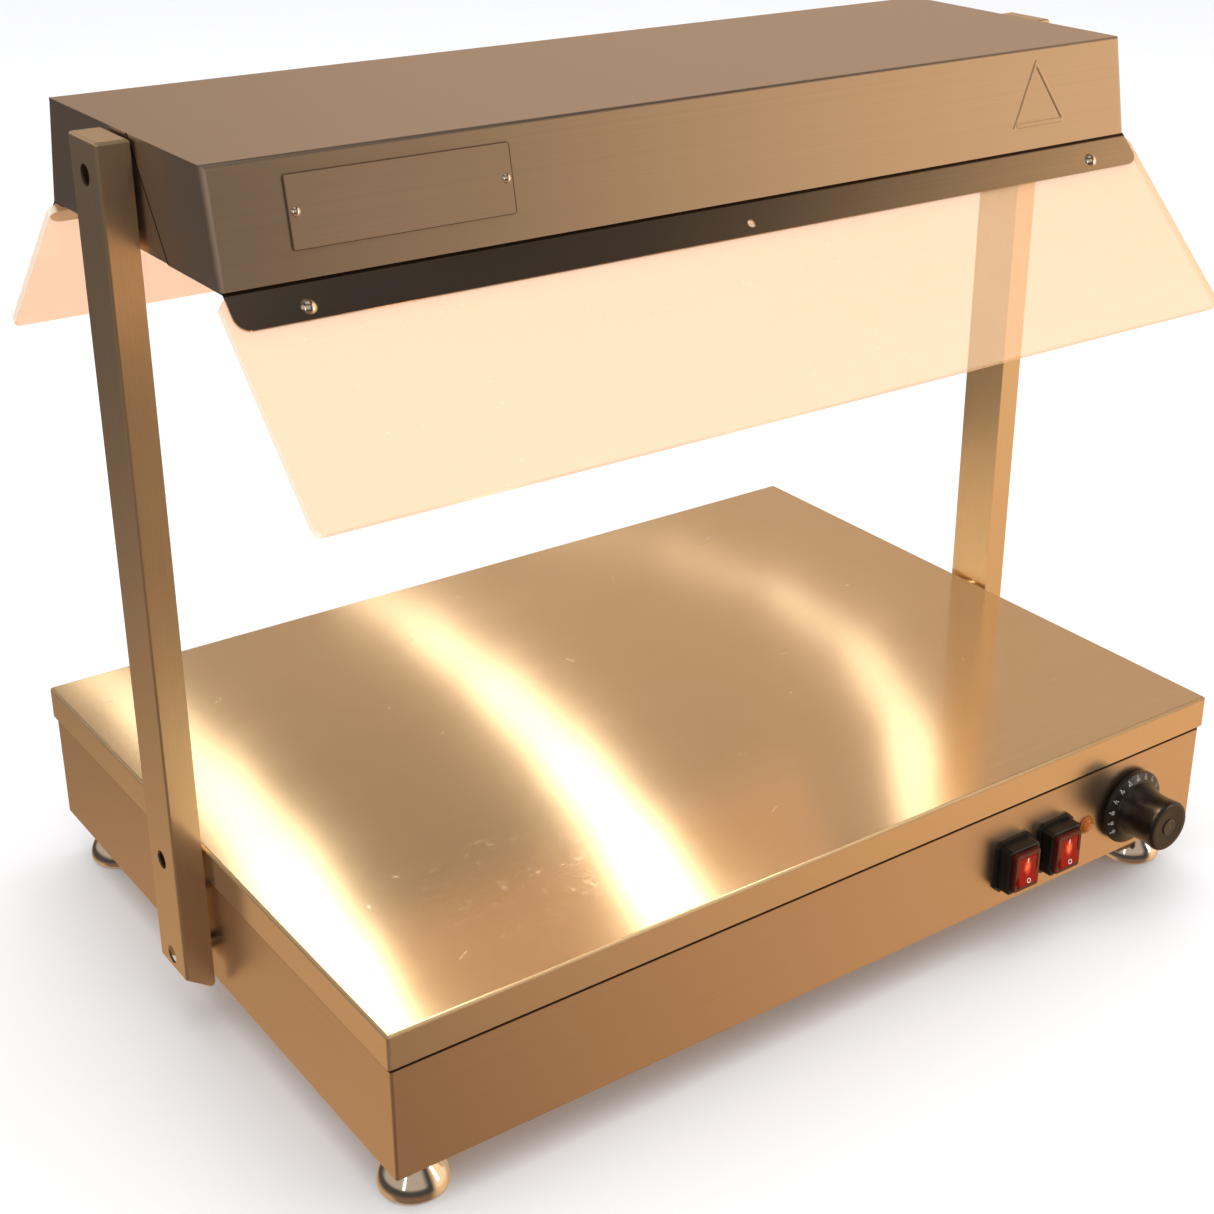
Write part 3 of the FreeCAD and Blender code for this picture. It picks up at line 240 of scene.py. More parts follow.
# %% The grain of brushed steel
DEPTH_SCALE = 40.0
GROOVE_DEPTH = 0.000012


def grain_place(paint, upright, lengthwise, crosswise):
    """Coordinates in which a plain noise is drawn out into streaks along the grain."""
    facing = paint.facing()
    sideways = paint.dot(facing, (1.0, 0.0, 0.0)).size()
    if upright:
        along = (0.0, 0.0, 1.0)
    else:
        parts = {"X": 1 - sideways, "Y": sideways, "Z": 0.0}
        along = paint.node("ShaderNodeCombineXYZ", None, parts)
    across = paint.vector("CROSS_PRODUCT", facing, along)
    where = paint.place()
    parts = {
        "X": paint.dot(where, along) * lengthwise,
        "Y": paint.dot(where, across) * crosswise,
        "Z": paint.dot(where, facing) * DEPTH_SCALE,
    }
    return paint.node("ShaderNodeCombineXYZ", None, parts)


def brushed_steel(name, tint, roughness, upright=False, metallic=1.0, marks=None):
    """Brushed stainless steel. Marks may change its colour and roughness: smudges and scratches of
    use, and lines of painted shade where sheets meet.
    """
    paint = Paint(name)
    fine = paint.noise(grain_place(paint, upright, 3.0, 3200.0), 1.0, detail=1.0)
    broad = paint.noise(grain_place(paint, upright, 0.8, 600.0), 1.0, detail=2.0)
    cloud = paint.noise(paint.place(), 6.0, detail=3.0)
    deep = colour(*[part * 0.84 for part in tint])
    shade = fine.between(0.2, 0.8) * 0.35 + broad.between(0.3, 0.7) * 0.15 + cloud * 0.5
    base = paint.mix(shade, deep, colour(*tint))
    rough = roughness + (fine - 0.5) * 0.04 + (cloud - 0.5) * 0.06
    if marks:
        base, rough = marks(paint, base, rough)
    return paint.finish(
        paint.principled(
            Base_Color=base,
            Metallic=metallic,
            Roughness=rough,
            Normal=paint.bump(fine, GROOVE_DEPTH, 0.6),
        )
    )


print("brushed steel can be made")

# %% [markdown]
# ## Marks of use, and painted shade where sheets meet
# A deck that trays slide over has fine scratches and a few dull finger smudges, and its folded edge
# is rubbed dull. Where two sheets meet, a dark line of painted shade stands for the shadow in the
# gap: under the lid's skirt, along the hood's lower edge, in the seam of its ends and round the
# nameplate. Each is a mask over the plain steel, worked out from the place of the part.


# %% Marks of use on the deck
SMUDGE_AT = (-0.205, MIDDLE_Y - 0.165, DECK_TOP)
CELL_SIZES = (16.0, 34.0, 9.0)
SCRATCH_WIDTH = 0.008
PALE = (0.86, 0.80, 0.70, 1.0)
# The dark colour below is painted shade, for the lines where sheets meet.
PAINTED_SHADE = (0.035, 0.024, 0.018, 1.0)


def deck_marks(paint, base, rough):
    """Short scratches, a smudged patch near the deck's front, and a dull folded edge."""
    where = paint.place()
    cells = paint.node(
        "ShaderNodeTexVoronoi",
        {"feature": "DISTANCE_TO_EDGE"},
        {"Vector": paint.stretched(where, *CELL_SIZES), "Scale": 1.0, "Randomness": 1.0},
    )
    patchy = paint.noise(where, 42.0, detail=2.0).between(0.68, 0.71)
    scratch = (cells < SCRATCH_WIDTH) * patchy
    away = paint.vector("DISTANCE", where, SMUDGE_AT, out="Value")
    near = 1 - away.between(0.02, 0.10)
    blots = paint.noise(where, 130.0, detail=3.0, roughness=0.7).between(0.57, 0.70)
    smudge = near * blots
    marked = paint.mix(smudge * 0.45 + scratch * 0.45, base, PALE)
    upward = paint.dot(paint.facing(), (0.0, 0.0, 1.0))
    fold = (upward > 0.05) * (upward < 0.97)
    return marked, rough + smudge * 0.06 + scratch * 0.12 + fold * 0.5


# %% Painted shade lines where sheets meet
SEAM_LOW, SEAM_HIGH = Vector((0, -0.0456, 0.5398)), Vector((0, -0.0039, 0.6054))
along_seam = (SEAM_HIGH - SEAM_LOW).normalized()
SEAM_ACROSS = (0.0, along_seam.z, -along_seam.y)
SEAM_OFFSET = Vector(SEAM_ACROSS).dot(SEAM_LOW)


def height_of(paint):
    """How high the point is, in metres."""
    return paint.dot(paint.place(), (0.0, 0.0, 1.0))


def base_marks(paint, base, rough):
    """Painted shade: a dark line under the lid's skirt, where its edge shades the base."""
    line = height_of(paint).between(deck_low.z - 0.0042, deck_low.z - 0.0030)
    return paint.mix(line, base, PAINTED_SHADE), rough + line * 0.2


def hood_marks(paint, base, rough):
    """Painted shade: a dark line along the seam on the hood's ends, where one folded sheet lies
    over the other.
    """
    across_seam = paint.dot(paint.place(), SEAM_ACROSS) - SEAM_OFFSET
    on_end = paint.dot(paint.facing(), (1.0, 0.0, 0.0)).size() > 0.7
    line = (1 - across_seam.size().between(0.0009, 0.0021)) * on_end
    return paint.mix(line, base, PAINTED_SHADE), rough + line * 0.2


def rail_marks(paint, base, rough):
    """Painted shade: a dark line where the rail goes up into the hood."""
    line = height_of(paint).between(hood_low.z - 0.0023, hood_low.z - 0.0013)
    return paint.mix(line, base, PAINTED_SHADE), rough + line * 0.2


def plate_marks(paint, base, rough):
    """A dark outline round the nameplate, where its edge casts a shadow."""
    low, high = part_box("nameplate")
    middle, half = (low + high) / 2, (high - low) / 2
    offset = paint.vector("ABSOLUTE", paint.vector("SUBTRACT", paint.place(), tuple(middle)))
    sideways = paint.dot(offset, (1.0, 0.0, 0.0)) - half.x
    upwards = paint.dot(offset, (0.0, 0.0, 1.0)) - half.z
    line = sideways.math("MAXIMUM", sideways, upwards).between(-0.0010, -0.0004)
    return paint.mix(line * 0.7, base, PAINTED_SHADE), rough + line * 0.1


print("marks are ready")

# %% The steels
# All six are one brushed stainless steel. Their warm golden tints are painted warm light, and the
# different tints from part to part are painted light and shade: the posts lightest, the rail
# darkest.
steels = {
    "deck_steel": brushed_steel(
        "deck_steel", (0.80, 0.63, 0.41), 0.17, metallic=0.92, marks=deck_marks
    ),
    "base_steel": brushed_steel("base_steel", (0.82, 0.65, 0.48), 0.34, marks=base_marks),
    "hood_steel": brushed_steel("hood_steel", (0.68, 0.58, 0.49), 0.32, marks=hood_marks),
    "post_steel": brushed_steel("post_steel", (0.93, 0.76, 0.54), 0.34, upright=True),
    "rail_steel": brushed_steel("rail_steel", (0.52, 0.44, 0.36), 0.18, marks=rail_marks),
    "plate_steel": brushed_steel("plate_steel", (0.64, 0.54, 0.47), 0.40, marks=plate_marks),
}
print(len(steels), "steels")

# %% [markdown]
# ## The other finishes
# Each finish is a short function. Even a plain one varies a little from place to place, because
# a surface that is the same all over looks unreal.


# %% Polished and plated metal
def polished(name, tint, roughness=0.06, ripple=0.00002):
    """A smooth bright metal with faint dust and a slight unevenness."""
    paint = Paint(name)
    where = paint.place()
    cloud = paint.noise(where, 60.0, detail=4.0)
    dust = paint.noise(where, 420.0, detail=2.0).between(0.55, 0.75)
    base = paint.mix(dust * 0.25, colour(*tint), colour(*[part * 0.75 for part in tint]))
    return paint.finish(
        paint.principled(
            Base_Color=base,
            Metallic=1.0,
            Roughness=roughness + cloud * 0.08 + dust * 0.08,
            Normal=paint.bump(cloud, ripple),
        )
    )


def galvanised(name):
    """Zinc-coated sheet, with its crystal pattern."""
    paint = Paint(name)
    where = paint.place()
    sockets = {"Vector": where, "Scale": 90.0}
    crystals = paint.node("ShaderNodeTexVoronoi", None, sockets, out="Distance")
    shade = crystals.between(0.1, 0.7)
    base = paint.mix(shade, colour(0.46, 0.47, 0.49), colour(0.66, 0.67, 0.68))
    rough = 0.42 + shade * 0.15
    return paint.finish(paint.principled(Base_Color=base, Metallic=1.0, Roughness=rough))


# %% Rubber, plastic and ceramic
def moulded(name, tint, roughness, grain=0.00004, coat=0.0, scale=900.0):
    """A moulded material with a fine surface grain and slightly uneven gloss."""
    paint = Paint(name)
    where = paint.place()
    fine = paint.noise(where, scale, detail=3.0)
    cloud = paint.noise(where, 35.0, detail=3.0)
    light = [min(1.0, part * 1.5 + 0.006) for part in tint]
    base = paint.mix(cloud.between(0.35, 0.75), colour(*tint), colour(*light))
    return paint.finish(
        paint.principled(
            Base_Color=base,
            Roughness=roughness + (cloud - 0.5) * 0.16,
            Coat_Weight=coat,
            Coat_Roughness=0.15,
            Normal=paint.bump(fine, grain),
        )
    )


def fibrous(name, tint):
    """Matted fibres, as in a wool blanket."""
    paint = Paint(name)
    strands = paint.noise(paint.stretched(paint.place(), 900.0, 160.0, 300.0), 1.0, detail=6.0)
    base = paint.mix(strands.between(0.35, 0.7), colour(*[p * 0.6 for p in tint]), colour(*tint))
    return paint.finish(
        paint.principled(Base_Color=base, Roughness=0.95, Normal=paint.bump(strands, 0.0006))
    )


# %% [markdown]
# ## Things that glow or let light through
# The clear panels filter what is behind them, so they mix a tinted Transparent shader, which costs
# no noise, with an ordinary surface that stands for dust, haze and gloss. Their warm tint is
# painted lamp glow. More of the surface shows on the sawn edges, which catch the light, and its
# paler colour there is a painted highlight. The rockers have a small neon lamp behind a red cap, so
# the cap is brightest in front of it.


# %% Clear panel
def clear_panel(name):
    """A clear pane with a warm cast of painted lamp glow, hazy with dust and brighter at its edges,
    where a painted highlight shows.
    """
    paint = Paint(name)
    facing = paint.facing()
    upward = paint.dot(facing, (0.0, 0.0, 1.0)).size()
    forward = paint.dot(facing, (0.0, 1.0, 0.0)).size()
    rim = 1 - (upward * forward).between(0.40, 0.49)
    where = paint.place()
    dust = paint.noise(where, 7.0, detail=5.0, roughness=0.6)
    specks = paint.noise(where, 600.0, detail=1.0).between(0.72, 0.80)
    clear = paint.node("ShaderNodeBsdfTransparent", None, {"Color": colour(1.0, 0.82, 0.73)})
    # This surface carries dust, haze and gloss, and also painted light: its warm colours paint the
    # lamps' glow, and its paler rim colour is a painted highlight.
    haze_and_glow = paint.principled(
        Base_Color=paint.mix(rim, colour(1.0, 0.80, 0.52), colour(1.0, 0.93, 0.76)),
        Roughness=0.06 + dust * 0.06,
    )
    share = 0.27 + dust * 0.10 + rim * 0.45 + specks * 0.10
    return paint.finish(paint.node("ShaderNodeMixShader", None, {0: share, 1: clear, 2: haze_and_glow}))


def lit_quartz(name):
    """A lamp's quartz tube, white hot along its coil."""
    paint = Paint(name)
    where = paint.place()
    coil = paint.noise(paint.stretched(where, 500.0, 60.0, 60.0), 1.0, detail=2.0)
    glow = paint.mix(coil, colour(1.0, 0.62, 0.30), colour(1.0, 0.80, 0.55))
    return paint.finish(
        paint.principled(
            Base_Color=colour(1.0, 0.92, 0.80),
            Roughness=0.12 + coil * 0.05,
            Emission_Color=glow,
            Emission_Strength=5.0,
        )
    )


# %% Lit rocker
HOT_RED, COOL_RED = (1.0, 0.15, 0.05), (0.12, 0.003, 0.001)
NEON_REACH = 0.0085
NEON_HEIGHT = 0.64
NEON_SHAPE = (1.6, 0.2, 0.9)


def lit_cap(name, node):
    """A red cap with a small lamp behind it: hot near the lamp and cool further away."""
    paint = Paint(name)
    low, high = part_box(node)
    lamp = ((low.x + high.x) / 2, low.y, low.z + (high.z - low.z) * NEON_HEIGHT)
    where = paint.place()
    offset = paint.vector("SUBTRACT", where, lamp)
    flat = paint.vector("MULTIPLY", offset, NEON_SHAPE)
    away = paint.vector("LENGTH", flat, out="Value")
    ripple = paint.noise(where, 260.0, detail=2.0)
    heat = 1 - (away + (ripple - 0.5) * 0.004).between(0.0, NEON_REACH)
    return paint.finish(
        paint.principled(
            Base_Color=paint.mix(ripple, colour(0.10, 0.003, 0.001), colour(0.15, 0.006, 0.002)),
            Roughness=0.18 + ripple * 0.08,
            Emission_Color=paint.mix(heat * heat, colour(*COOL_RED), colour(*HOT_RED)),
            Emission_Strength=1.6,
            Specular_IOR_Level=0.15,
        )
    )


# %% [markdown]
# ## Which piece gets which finish
# The record already says what every node is made of. A table turns its slots into materials,
# and a second table names the few nodes that need one of their own.

# %% Finishes
finishes = {
    "brushed_steel": steels["base_steel"],
    "polished_chrome": polished("polished_chrome", (0.86, 0.82, 0.76)),
    "plated_fastener": polished("plated_fastener", (0.60, 0.58, 0.55), 0.22, 0.00006),
    "black_rubber": moulded("black_rubber", (0.004, 0.003, 0.002), 0.42, 0.00005),
    "clear_panel": clear_panel("clear_panel"),
    "quartz": lit_quartz("lit_quartz"),
    "ceramic": moulded("ceramic", (0.70, 0.66, 0.58), 0.7, 0.00010, scale=500.0),
    "reflector_steel": polished("reflector_steel", (0.88, 0.84, 0.76), 0.16, 0.00015),
    "galvanised_steel": galvanised("galvanised_steel"),
    "heater_mat": moulded("heater_mat", (0.42, 0.10, 0.06), 0.6, 0.00020, scale=300.0),
    "mineral_wool": fibrous("mineral_wool", (0.74, 0.66, 0.44)),
    "black_plastic": moulded("black_plastic", (0.006, 0.004, 0.003), 0.30, 0.00002),
    "white_plastic": moulded("white_plastic", (0.72, 0.71, 0.68), 0.45),
    "red_rocker": lit_cap("lit_rocker", "light_rocker"),
    "dark_red_plastic": moulded("dark_red_plastic", (0.07, 0.005, 0.002), 0.26, coat=0.15),
    "amber_lens": moulded("amber_lens", (0.30, 0.075, 0.006), 0.10, 0.00002, coat=1.0),
    "insulated_wire": moulded("insulated_wire", (0.66, 0.63, 0.56), 0.6),
    "copper": polished("copper", (0.72, 0.42, 0.22), 0.25, 0.00005),
}
own_finishes = {
    "deck_plate": steels["deck_steel"],
    "hood_shell": steels["hood_steel"],
    "left_post": steels["post_steel"],
    "right_post": steels["post_steel"],
    "front_glass_rail": steels["rail_steel"],
    "rear_glass_rail": steels["rail_steel"],
    "nameplate": steels["plate_steel"],
    "plate_rocker": lit_cap("lit_plate_rocker", "plate_rocker"),
    "left_post_strip": steels["post_steel"],
    "right_post_strip": steels["post_steel"],
    "knob_cap": moulded("cap_plastic", (0.040, 0.028, 0.021), 0.34, 0.00002),
}
slots = {part["node"]: part["material_slot"] for part in frame["record"]["subparts"]}
for node_name, obj in frame["nodes"].items():
    finish_of = own_finishes.get(node_name, finishes[slots[node_name]])
    obj.data.materials.clear()
    obj.data.materials.append(finish_of)
print(len(finishes) + len(own_finishes), "finishes on", len(slots), "nodes")

# %% [markdown]
# ## Turned pieces
# The knob and the feet are turned shapes with flowing outlines. A lathe helper takes the outline as
# a few points, runs a smooth curve through them and turns it about the axis.


# %% The lathe
def smooth_line(points, steps):
    """Points on a smooth curve through the given ones (Catmull-Rom)."""
    padded = [points[0], *points, points[-1]]
    line = []
    for a, b, c, d in zip(padded, padded[1:], padded[2:], padded[3:]):
        for i in range(steps):
            t = i / steps
            line.append(
                0.5 * (2 * b + (c - a) * t + (2 * a - 5 * b + 4 * c - d) * t**2
                       + (3 * b - a - 3 * c + d) * t**3)
            )
    return line + [points[-1]]


def turned_piece(name, outlines, axis, place, finish, turns=96, steps=6):
    """Turns outlines of (radius, distance along the axis), in millimetres. Each outline is one
    smooth stretch, and a new outline starts a sharp edge."""
    rings = []
    for outline in outlines:
        rings += smooth_line([Vector(point) for point in outline], steps)
    kept = [rings[0]]
    for ring in rings[1:]:
        if (ring - kept[-1]).length > 0.01:
            kept.append(ring)
    verts, faces = [], []
    for radius, along in kept:
        for k in range(turns):
            angle = 2 * math.pi * k / turns
            spot = (radius * math.cos(angle), radius * math.sin(angle), along)
            verts.append([part * MM for part in spot])
    for i in range(len(kept) - 1):
        for k in range(turns):
            here, beside = i * turns + k, i * turns + (k + 1) % turns
            faces.append((here, beside, beside + turns, here + turns))
    faces.append(tuple(reversed(range(turns))))
    faces.append(tuple(range((len(kept) - 1) * turns, len(kept) * turns)))
    mesh = bpy.data.meshes.new(name)
    mesh.from_pydata(verts, [], faces)
    spin = Vector((0, 0, 1)).rotation_difference(Vector(axis)).to_matrix().to_4x4()
    mesh.transform(Matrix.Translation(place) @ spin)
    mesh.update()
    for face in mesh.polygons:
        face.use_smooth = len(face.vertices) == 4
    mesh.set_sharp_from_angle(angle=math.radians(32))
    piece = bpy.data.objects.new(name, mesh)
    bpy.context.scene.collection.objects.link(piece)
    piece.data.materials.append(finish)
    return piece


# %% [markdown]
# ## The knob
# It is moulded in one piece: a broad skirt with a sloping dial face, a hub, and a waisted grip that
# flares towards its end. The outline is drawn from the panel outwards.

# %% The knob
FACE_INNER, FACE_OUTER = (22.6, 8.6), (28.2, 6.4)
knob_low, knob_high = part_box("thermostat_knob")
knob_at = Vector(((knob_low.x + knob_high.x) / 2, shell_low.y, (knob_low.z + knob_high.z) / 2))
knob = turned_piece(
    "dial_knob",
    [
        [(4.0, 3.05), (28.4, 3.05)],
        [(28.4, 3.05), (28.9, 3.5), (28.95, 5.6), (28.4, 6.3)],
        [FACE_OUTER, FACE_INNER],
        [(22.4, 8.7), (21.7, 9.6), (21.3, 11.4), (20.7, 13.6), (19.5, 17.0), (18.8, 21.0),
         (18.6, 25.0), (18.8, 30.0), (19.3, 34.5), (19.5, 37.4), (19.1, 39.3), (17.6, 40.3),
         (15.0, 40.55)],
        [(15.0, 40.55), (9.0, 40.2), (6.5, 40.05)],
    ],
    (0, -1, 0), knob_at, finishes["black_plastic"],
)
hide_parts("thermostat_knob")
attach(knob, "dial")
print("knob", len(knob.data.vertices), "vertices")

# %% The pilot lamp
pilot_low, pilot_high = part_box("pilot_lens")
pilot_at = Vector(((pilot_low.x + pilot_high.x) / 2, shell_low.y, (pilot_low.z + pilot_high.z) / 2))
jewel = turned_piece(
    "pilot_jewel",
    [
        [(5.6, -2.0), (5.6, 0.0)],
        [(6.9, 0.05), (6.95, 0.8), (6.6, 1.3), (6.1, 1.45)],
        [(5.9, 1.4), (5.6, 2.2), (4.9, 3.0), (3.7, 3.7), (2.0, 4.05), (0.5, 4.15)],
    ],
    (0, -1, 0), pilot_at, finishes["amber_lens"],
)
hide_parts("pilot_lens")
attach(jewel, "warmer")

# %% [markdown]
# ## Figures on the dial and marks on the rockers
# Printed figures are thin flat shapes. Blender's text objects give clean outlines, which are turned
# into meshes so that they can be tilted onto the sloping dial face.


# %% Printed marks
PRINT_HALF = 0.00003


def printed_text(text, height):
    """A flat mesh of a short text, centred on the origin and facing +Z."""
    curve = bpy.data.curves.new("text", "FONT")
    curve.body = text
    curve.align_x = "CENTER"
    curve.align_y = "CENTER"
    curve.size = height
    curve.extrude = PRINT_HALF
    holder = bpy.data.objects.new("text", curve)
    bpy.context.scene.collection.objects.link(holder)
    bpy.context.view_layer.update()
    graph = bpy.context.evaluated_depsgraph_get()
    mesh = bpy.data.meshes.new_from_object(holder.evaluated_get(graph))
    bpy.data.objects.remove(holder)
    return mesh


def flat_bar(width, height):
    """A small flat bar, centred on the origin and facing +Z."""
    mesh = bpy.data.meshes.new("bar")
    w, h, t = width / 2, height / 2, PRINT_HALF
    corners = [(x, y, z) for z in (-t, t) for x, y in ((-w, -h), (w, -h), (w, h), (-w, h))]
    sides = [(i, (i + 1) % 4, (i + 1) % 4 + 4, i + 4) for i in range(4)]
    mesh.from_pydata(corners, [], [(3, 2, 1, 0), (4, 5, 6, 7), *sides])
    return mesh


def joined(name, meshes, finish, body):
    """One piece from several meshes that are already in place."""
    verts, faces = [], []
    for mesh in meshes:
        start = len(verts)
        verts += [tuple(v.co) for v in mesh.vertices]
        faces += [tuple(start + i for i in face.vertices) for face in mesh.polygons]
    whole = bpy.data.meshes.new(name)
    whole.from_pydata(verts, [], faces)
    piece = bpy.data.objects.new(name, whole)
    bpy.context.scene.collection.objects.link(piece)
    piece.data.materials.append(finish)
    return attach(piece, body)


# %% Figures on the dial
white_print = moulded("white_print", (0.42, 0.40, 0.36), 0.6)
FACE_SLOPE = math.atan2(FACE_INNER[1] - FACE_OUTER[1], FACE_OUTER[0] - FACE_INNER[0])
FIRST_FIGURE, LAST_FIGURE, STEP = 30, 90, 5
DIAL_TURN = 240.0
FIGURES_AT, BARS_AT = 24.6, 27.0
PROUD = 0.05


def on_dial(mesh, turn_degrees, radius_mm):
    """Lays a mark on the dial face. Turn is anticlockwise from the top, as the user sees it."""
    rise = FACE_INNER[1] - (radius_mm - FACE_INNER[0]) * math.tan(FACE_SLOPE) + PROUD
    tilt = Matrix.Rotation(-FACE_SLOPE, 4, "X")
    out = Matrix.Translation((0, radius_mm * MM, rise * MM))
    face_user = Matrix.Rotation(math.pi / 2, 4, "X")
    spin = Matrix.Rotation(math.radians(turn_degrees), 4, "Z")
    mesh.transform(Matrix.Translation(knob_at) @ face_user @ spin @ out @ tilt)
    return mesh


figures = range(FIRST_FIGURE, LAST_FIGURE + 1, STEP)
gap = DIAL_TURN / (len(figures) - 1)
marks = []
for number, figure in enumerate(figures):
    turn = number * gap - DIAL_TURN / 2
    marks.append(on_dial(printed_text(str(figure), 0.0034), turn, FIGURES_AT))
    marks.append(on_dial(flat_bar(0.0006, 0.0017), turn, BARS_AT))
dial_marks = joined("dial_marks", marks, white_print, "dial")
print(len(figures), "figures on the dial")

# %% Marks on the rockers
rocker_print = moulded("rocker_print", (0.85, 0.78, 0.72), 0.5)
ROCKERS = {"light_rocker": "light_switch_rocker", "plate_rocker": "plate_switch_rocker"}
RIDGE, EDGE, HALF_HEIGHT = 5.9, 4.1, 11.7
HALF_SLOPE = math.atan2(RIDGE - EDGE, HALF_HEIGHT)
MARK_UP = 8.0
rocker_tilt = math.radians(frame["joints"][0]["range_deg"][1] / 2)


def rocker_mark(mesh, pivot, up_mm, lean):
    """Lays a mark on one half of a rocker that stands in its on position."""
    forward = RIDGE - (RIDGE - EDGE) * (1 - abs(up_mm) / HALF_HEIGHT) + 2 * PROUD
    lie = Matrix.Translation((0, -forward * MM, up_mm * MM)) @ Matrix.Rotation(lean, 4, "X")
    stand = Matrix.Rotation(math.pi / 2, 4, "X")
    tilted = Matrix.Rotation(-rocker_tilt, 4, "X")
    mesh.transform(Matrix.Translation(pivot) @ tilted @ lie @ stand)
    return mesh


pivots = {joint["child"]: Vector(joint["pos_m"]) for joint in frame["joints"]}
for node_name, body in ROCKERS.items():
    pivot = pivots[body]
    line = rocker_mark(flat_bar(0.0008, 0.0036), pivot, MARK_UP, HALF_SLOPE)
    ring = rocker_mark(printed_text("O", 0.0050), pivot, -MARK_UP, -HALF_SLOPE)
    joined(f"{node_name}_marks", [line, ring], rocker_print, body)
print("marks on", len(ROCKERS), "rockers")

# %% [markdown]
# ## The raised triangle
# The press that forms the hood leaves a plain triangle with softly rounded sides. A thin tube along
# its outline, flattened onto the sheet, has that softness. The hood's front leans: its lower edge
# stands further forward than its upper one by the flare.

# %% The raised triangle
FLARE = 0.0128
hood_height = hood_high.z - hood_low.z
face_lean = math.atan2(FLARE, hood_height)
face_middle = Vector((0, hood_low.y + FLARE / 2, hood_low.z + hood_height / 2))
corners = [Vector((0.2432, -0.0168, 0)), Vector((0.2898, -0.0168, 0)), Vector((0.2665, 0.0236, 0))]
BEAD, CORNER, FLATTENED = 0.0016, 0.0024, 0.30
outline = bpy.data.curves.new("triangle", "CURVE")
outline.dimensions = "3D"
outline.bevel_depth = BEAD
outline.bevel_resolution = 4
line = outline.splines.new("POLY")
spots = []
for before, corner, after in zip(corners[-1:] + corners, corners, corners[1:] + corners[:1]):
    start = corner + (before - corner).normalized() * CORNER
    end = corner + (after - corner).normalized() * CORNER
    for t in (0.0, 0.25, 0.5, 0.75, 1.0):
        spots.append(start * (1 - t) ** 2 + corner * 2 * t * (1 - t) + end * t**2)
line.points.add(len(spots) - 1)
for point, spot in zip(line.points, spots):
    point.co = (*spot, 1)
line.use_cyclic_u = True
holder = bpy.data.objects.new("triangle", outline)
bead_mesh = bpy.data.meshes.new_from_object(holder)
bpy.data.objects.remove(holder)
bead_mesh.transform(
    Matrix.Translation(face_middle) @ Matrix.Rotation(math.pi / 2 - face_lean, 4, "X")
    @ Matrix.Diagonal((1, 1, FLATTENED, 1))
)
bead_mesh.materials.clear()
bead = bpy.data.objects.new("hood_triangle", bead_mesh)
bpy.context.scene.collection.objects.link(bead)
bead_mesh.materials.append(steels["hood_steel"])
for face in bead_mesh.polygons:
    face.use_smooth = True
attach(bead, "warmer")
print("triangle", len(bead_mesh.vertices), "vertices")

# %% [markdown]
# ## The feet
# Each foot is a polished bell: a narrow neck, a sloping cone and a rounded rim that turns in at
# the bottom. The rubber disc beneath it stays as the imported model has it.

# %% The feet
for corner in ("front_left", "front_right", "rear_left", "rear_right"):
    low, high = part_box(f"{corner}_foot")
    middle = Vector(((low.x + high.x) / 2, (low.y + high.y) / 2, 0))
    bell = turned_piece(
        f"{corner}_bell",
        [
            [(19.4, 2.6), (19.4, 0.9)],
            [(19.6, 0.85), (21.2, 0.95), (22.2, 2.0), (22.45, 3.6), (22.3, 6.0), (21.6, 9.0),
             (20.2, 12.4), (17.6, 16.2), (14.4, 20.2), (11.6, 23.2), (9.4, 25.2), (8.3, 27.0),
             (8.0, 30.0), (8.0, 34.9)],
            [(4.0, 35.0), (4.0, 53.9)],
        ],
        (0, 0, 1), middle, finishes["polished_chrome"],
    )
    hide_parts(f"{corner}_foot")
    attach(bell, "warmer")
print("4 feet")

# %% [markdown]
# ## Light
# The floor is a plain pale sheet, and one large soft panel hangs overhead. Steel has hardly a
# colour of its own, so what it reflects decides how it looks. The room that shiny pieces reflect is
# a gradient over the directions of the sky: warm and bright on the right, dark in front on the left
# and high up, and brown below. Dull surfaces get plain white light from it.

# %% The floor
floor_mesh = bpy.data.meshes.new("floor")
HALF_FLOOR = 20.0
floor_mesh.from_pydata(
    [(x * HALF_FLOOR, y * HALF_FLOOR, 0) for x, y in ((-1, -1), (1, -1), (1, 1), (-1, 1))],
    [], [(0, 1, 2, 3)],
)
floor = bpy.data.objects.new("floor", floor_mesh)
bpy.context.scene.collection.objects.link(floor)
floor_paint = Paint("pale_floor")
floor_cloud = floor_paint.noise(floor_paint.place(), 3.0)
floor_shade = floor_paint.mix(floor_cloud, colour(0.90, 0.91, 0.93), colour(0.92, 0.93, 0.95))
floor.data.materials.append(
    floor_paint.finish(floor_paint.principled(Base_Color=floor_shade, Roughness=0.9))
)
floor.visible_glossy = False

# %% The room
room = bpy.data.worlds.new("room")
bpy.context.scene.world = room
sky = Paint("room", room)
heading = sky.node("ShaderNodeTexCoord", out="Generated")
right = sky.dot(heading, (1.0, 0.0, 0.0))
back = sky.dot(heading, (0.0, 1.0, 0.0))
up = sky.dot(heading, (0.0, 0.0, 1.0))
DARK_WALL, DARK_CORNER, DARK_CEILING = (0.06, 0.055, 0.05), (0.08, 0.07, 0.065), (0.05, 0.045, 0.04)
WARM_WALL, WARM_CORNER = (1.24, 0.84, 0.49), (0.62, 0.44, 0.31)
BROWN_FLOOR, TAN_FLOOR, BACK_FLOOR = (0.22, 0.13, 0.08), (0.92, 0.55, 0.28), (0.62, 0.38, 0.20)
LEFT_WALL, SKYLIGHT = (0.50, 0.40, 0.31), (0.50, 0.42, 0.34)
front_walls = sky.mix(right.between(0.40, 0.75), colour(*DARK_WALL), colour(*WARM_WALL))
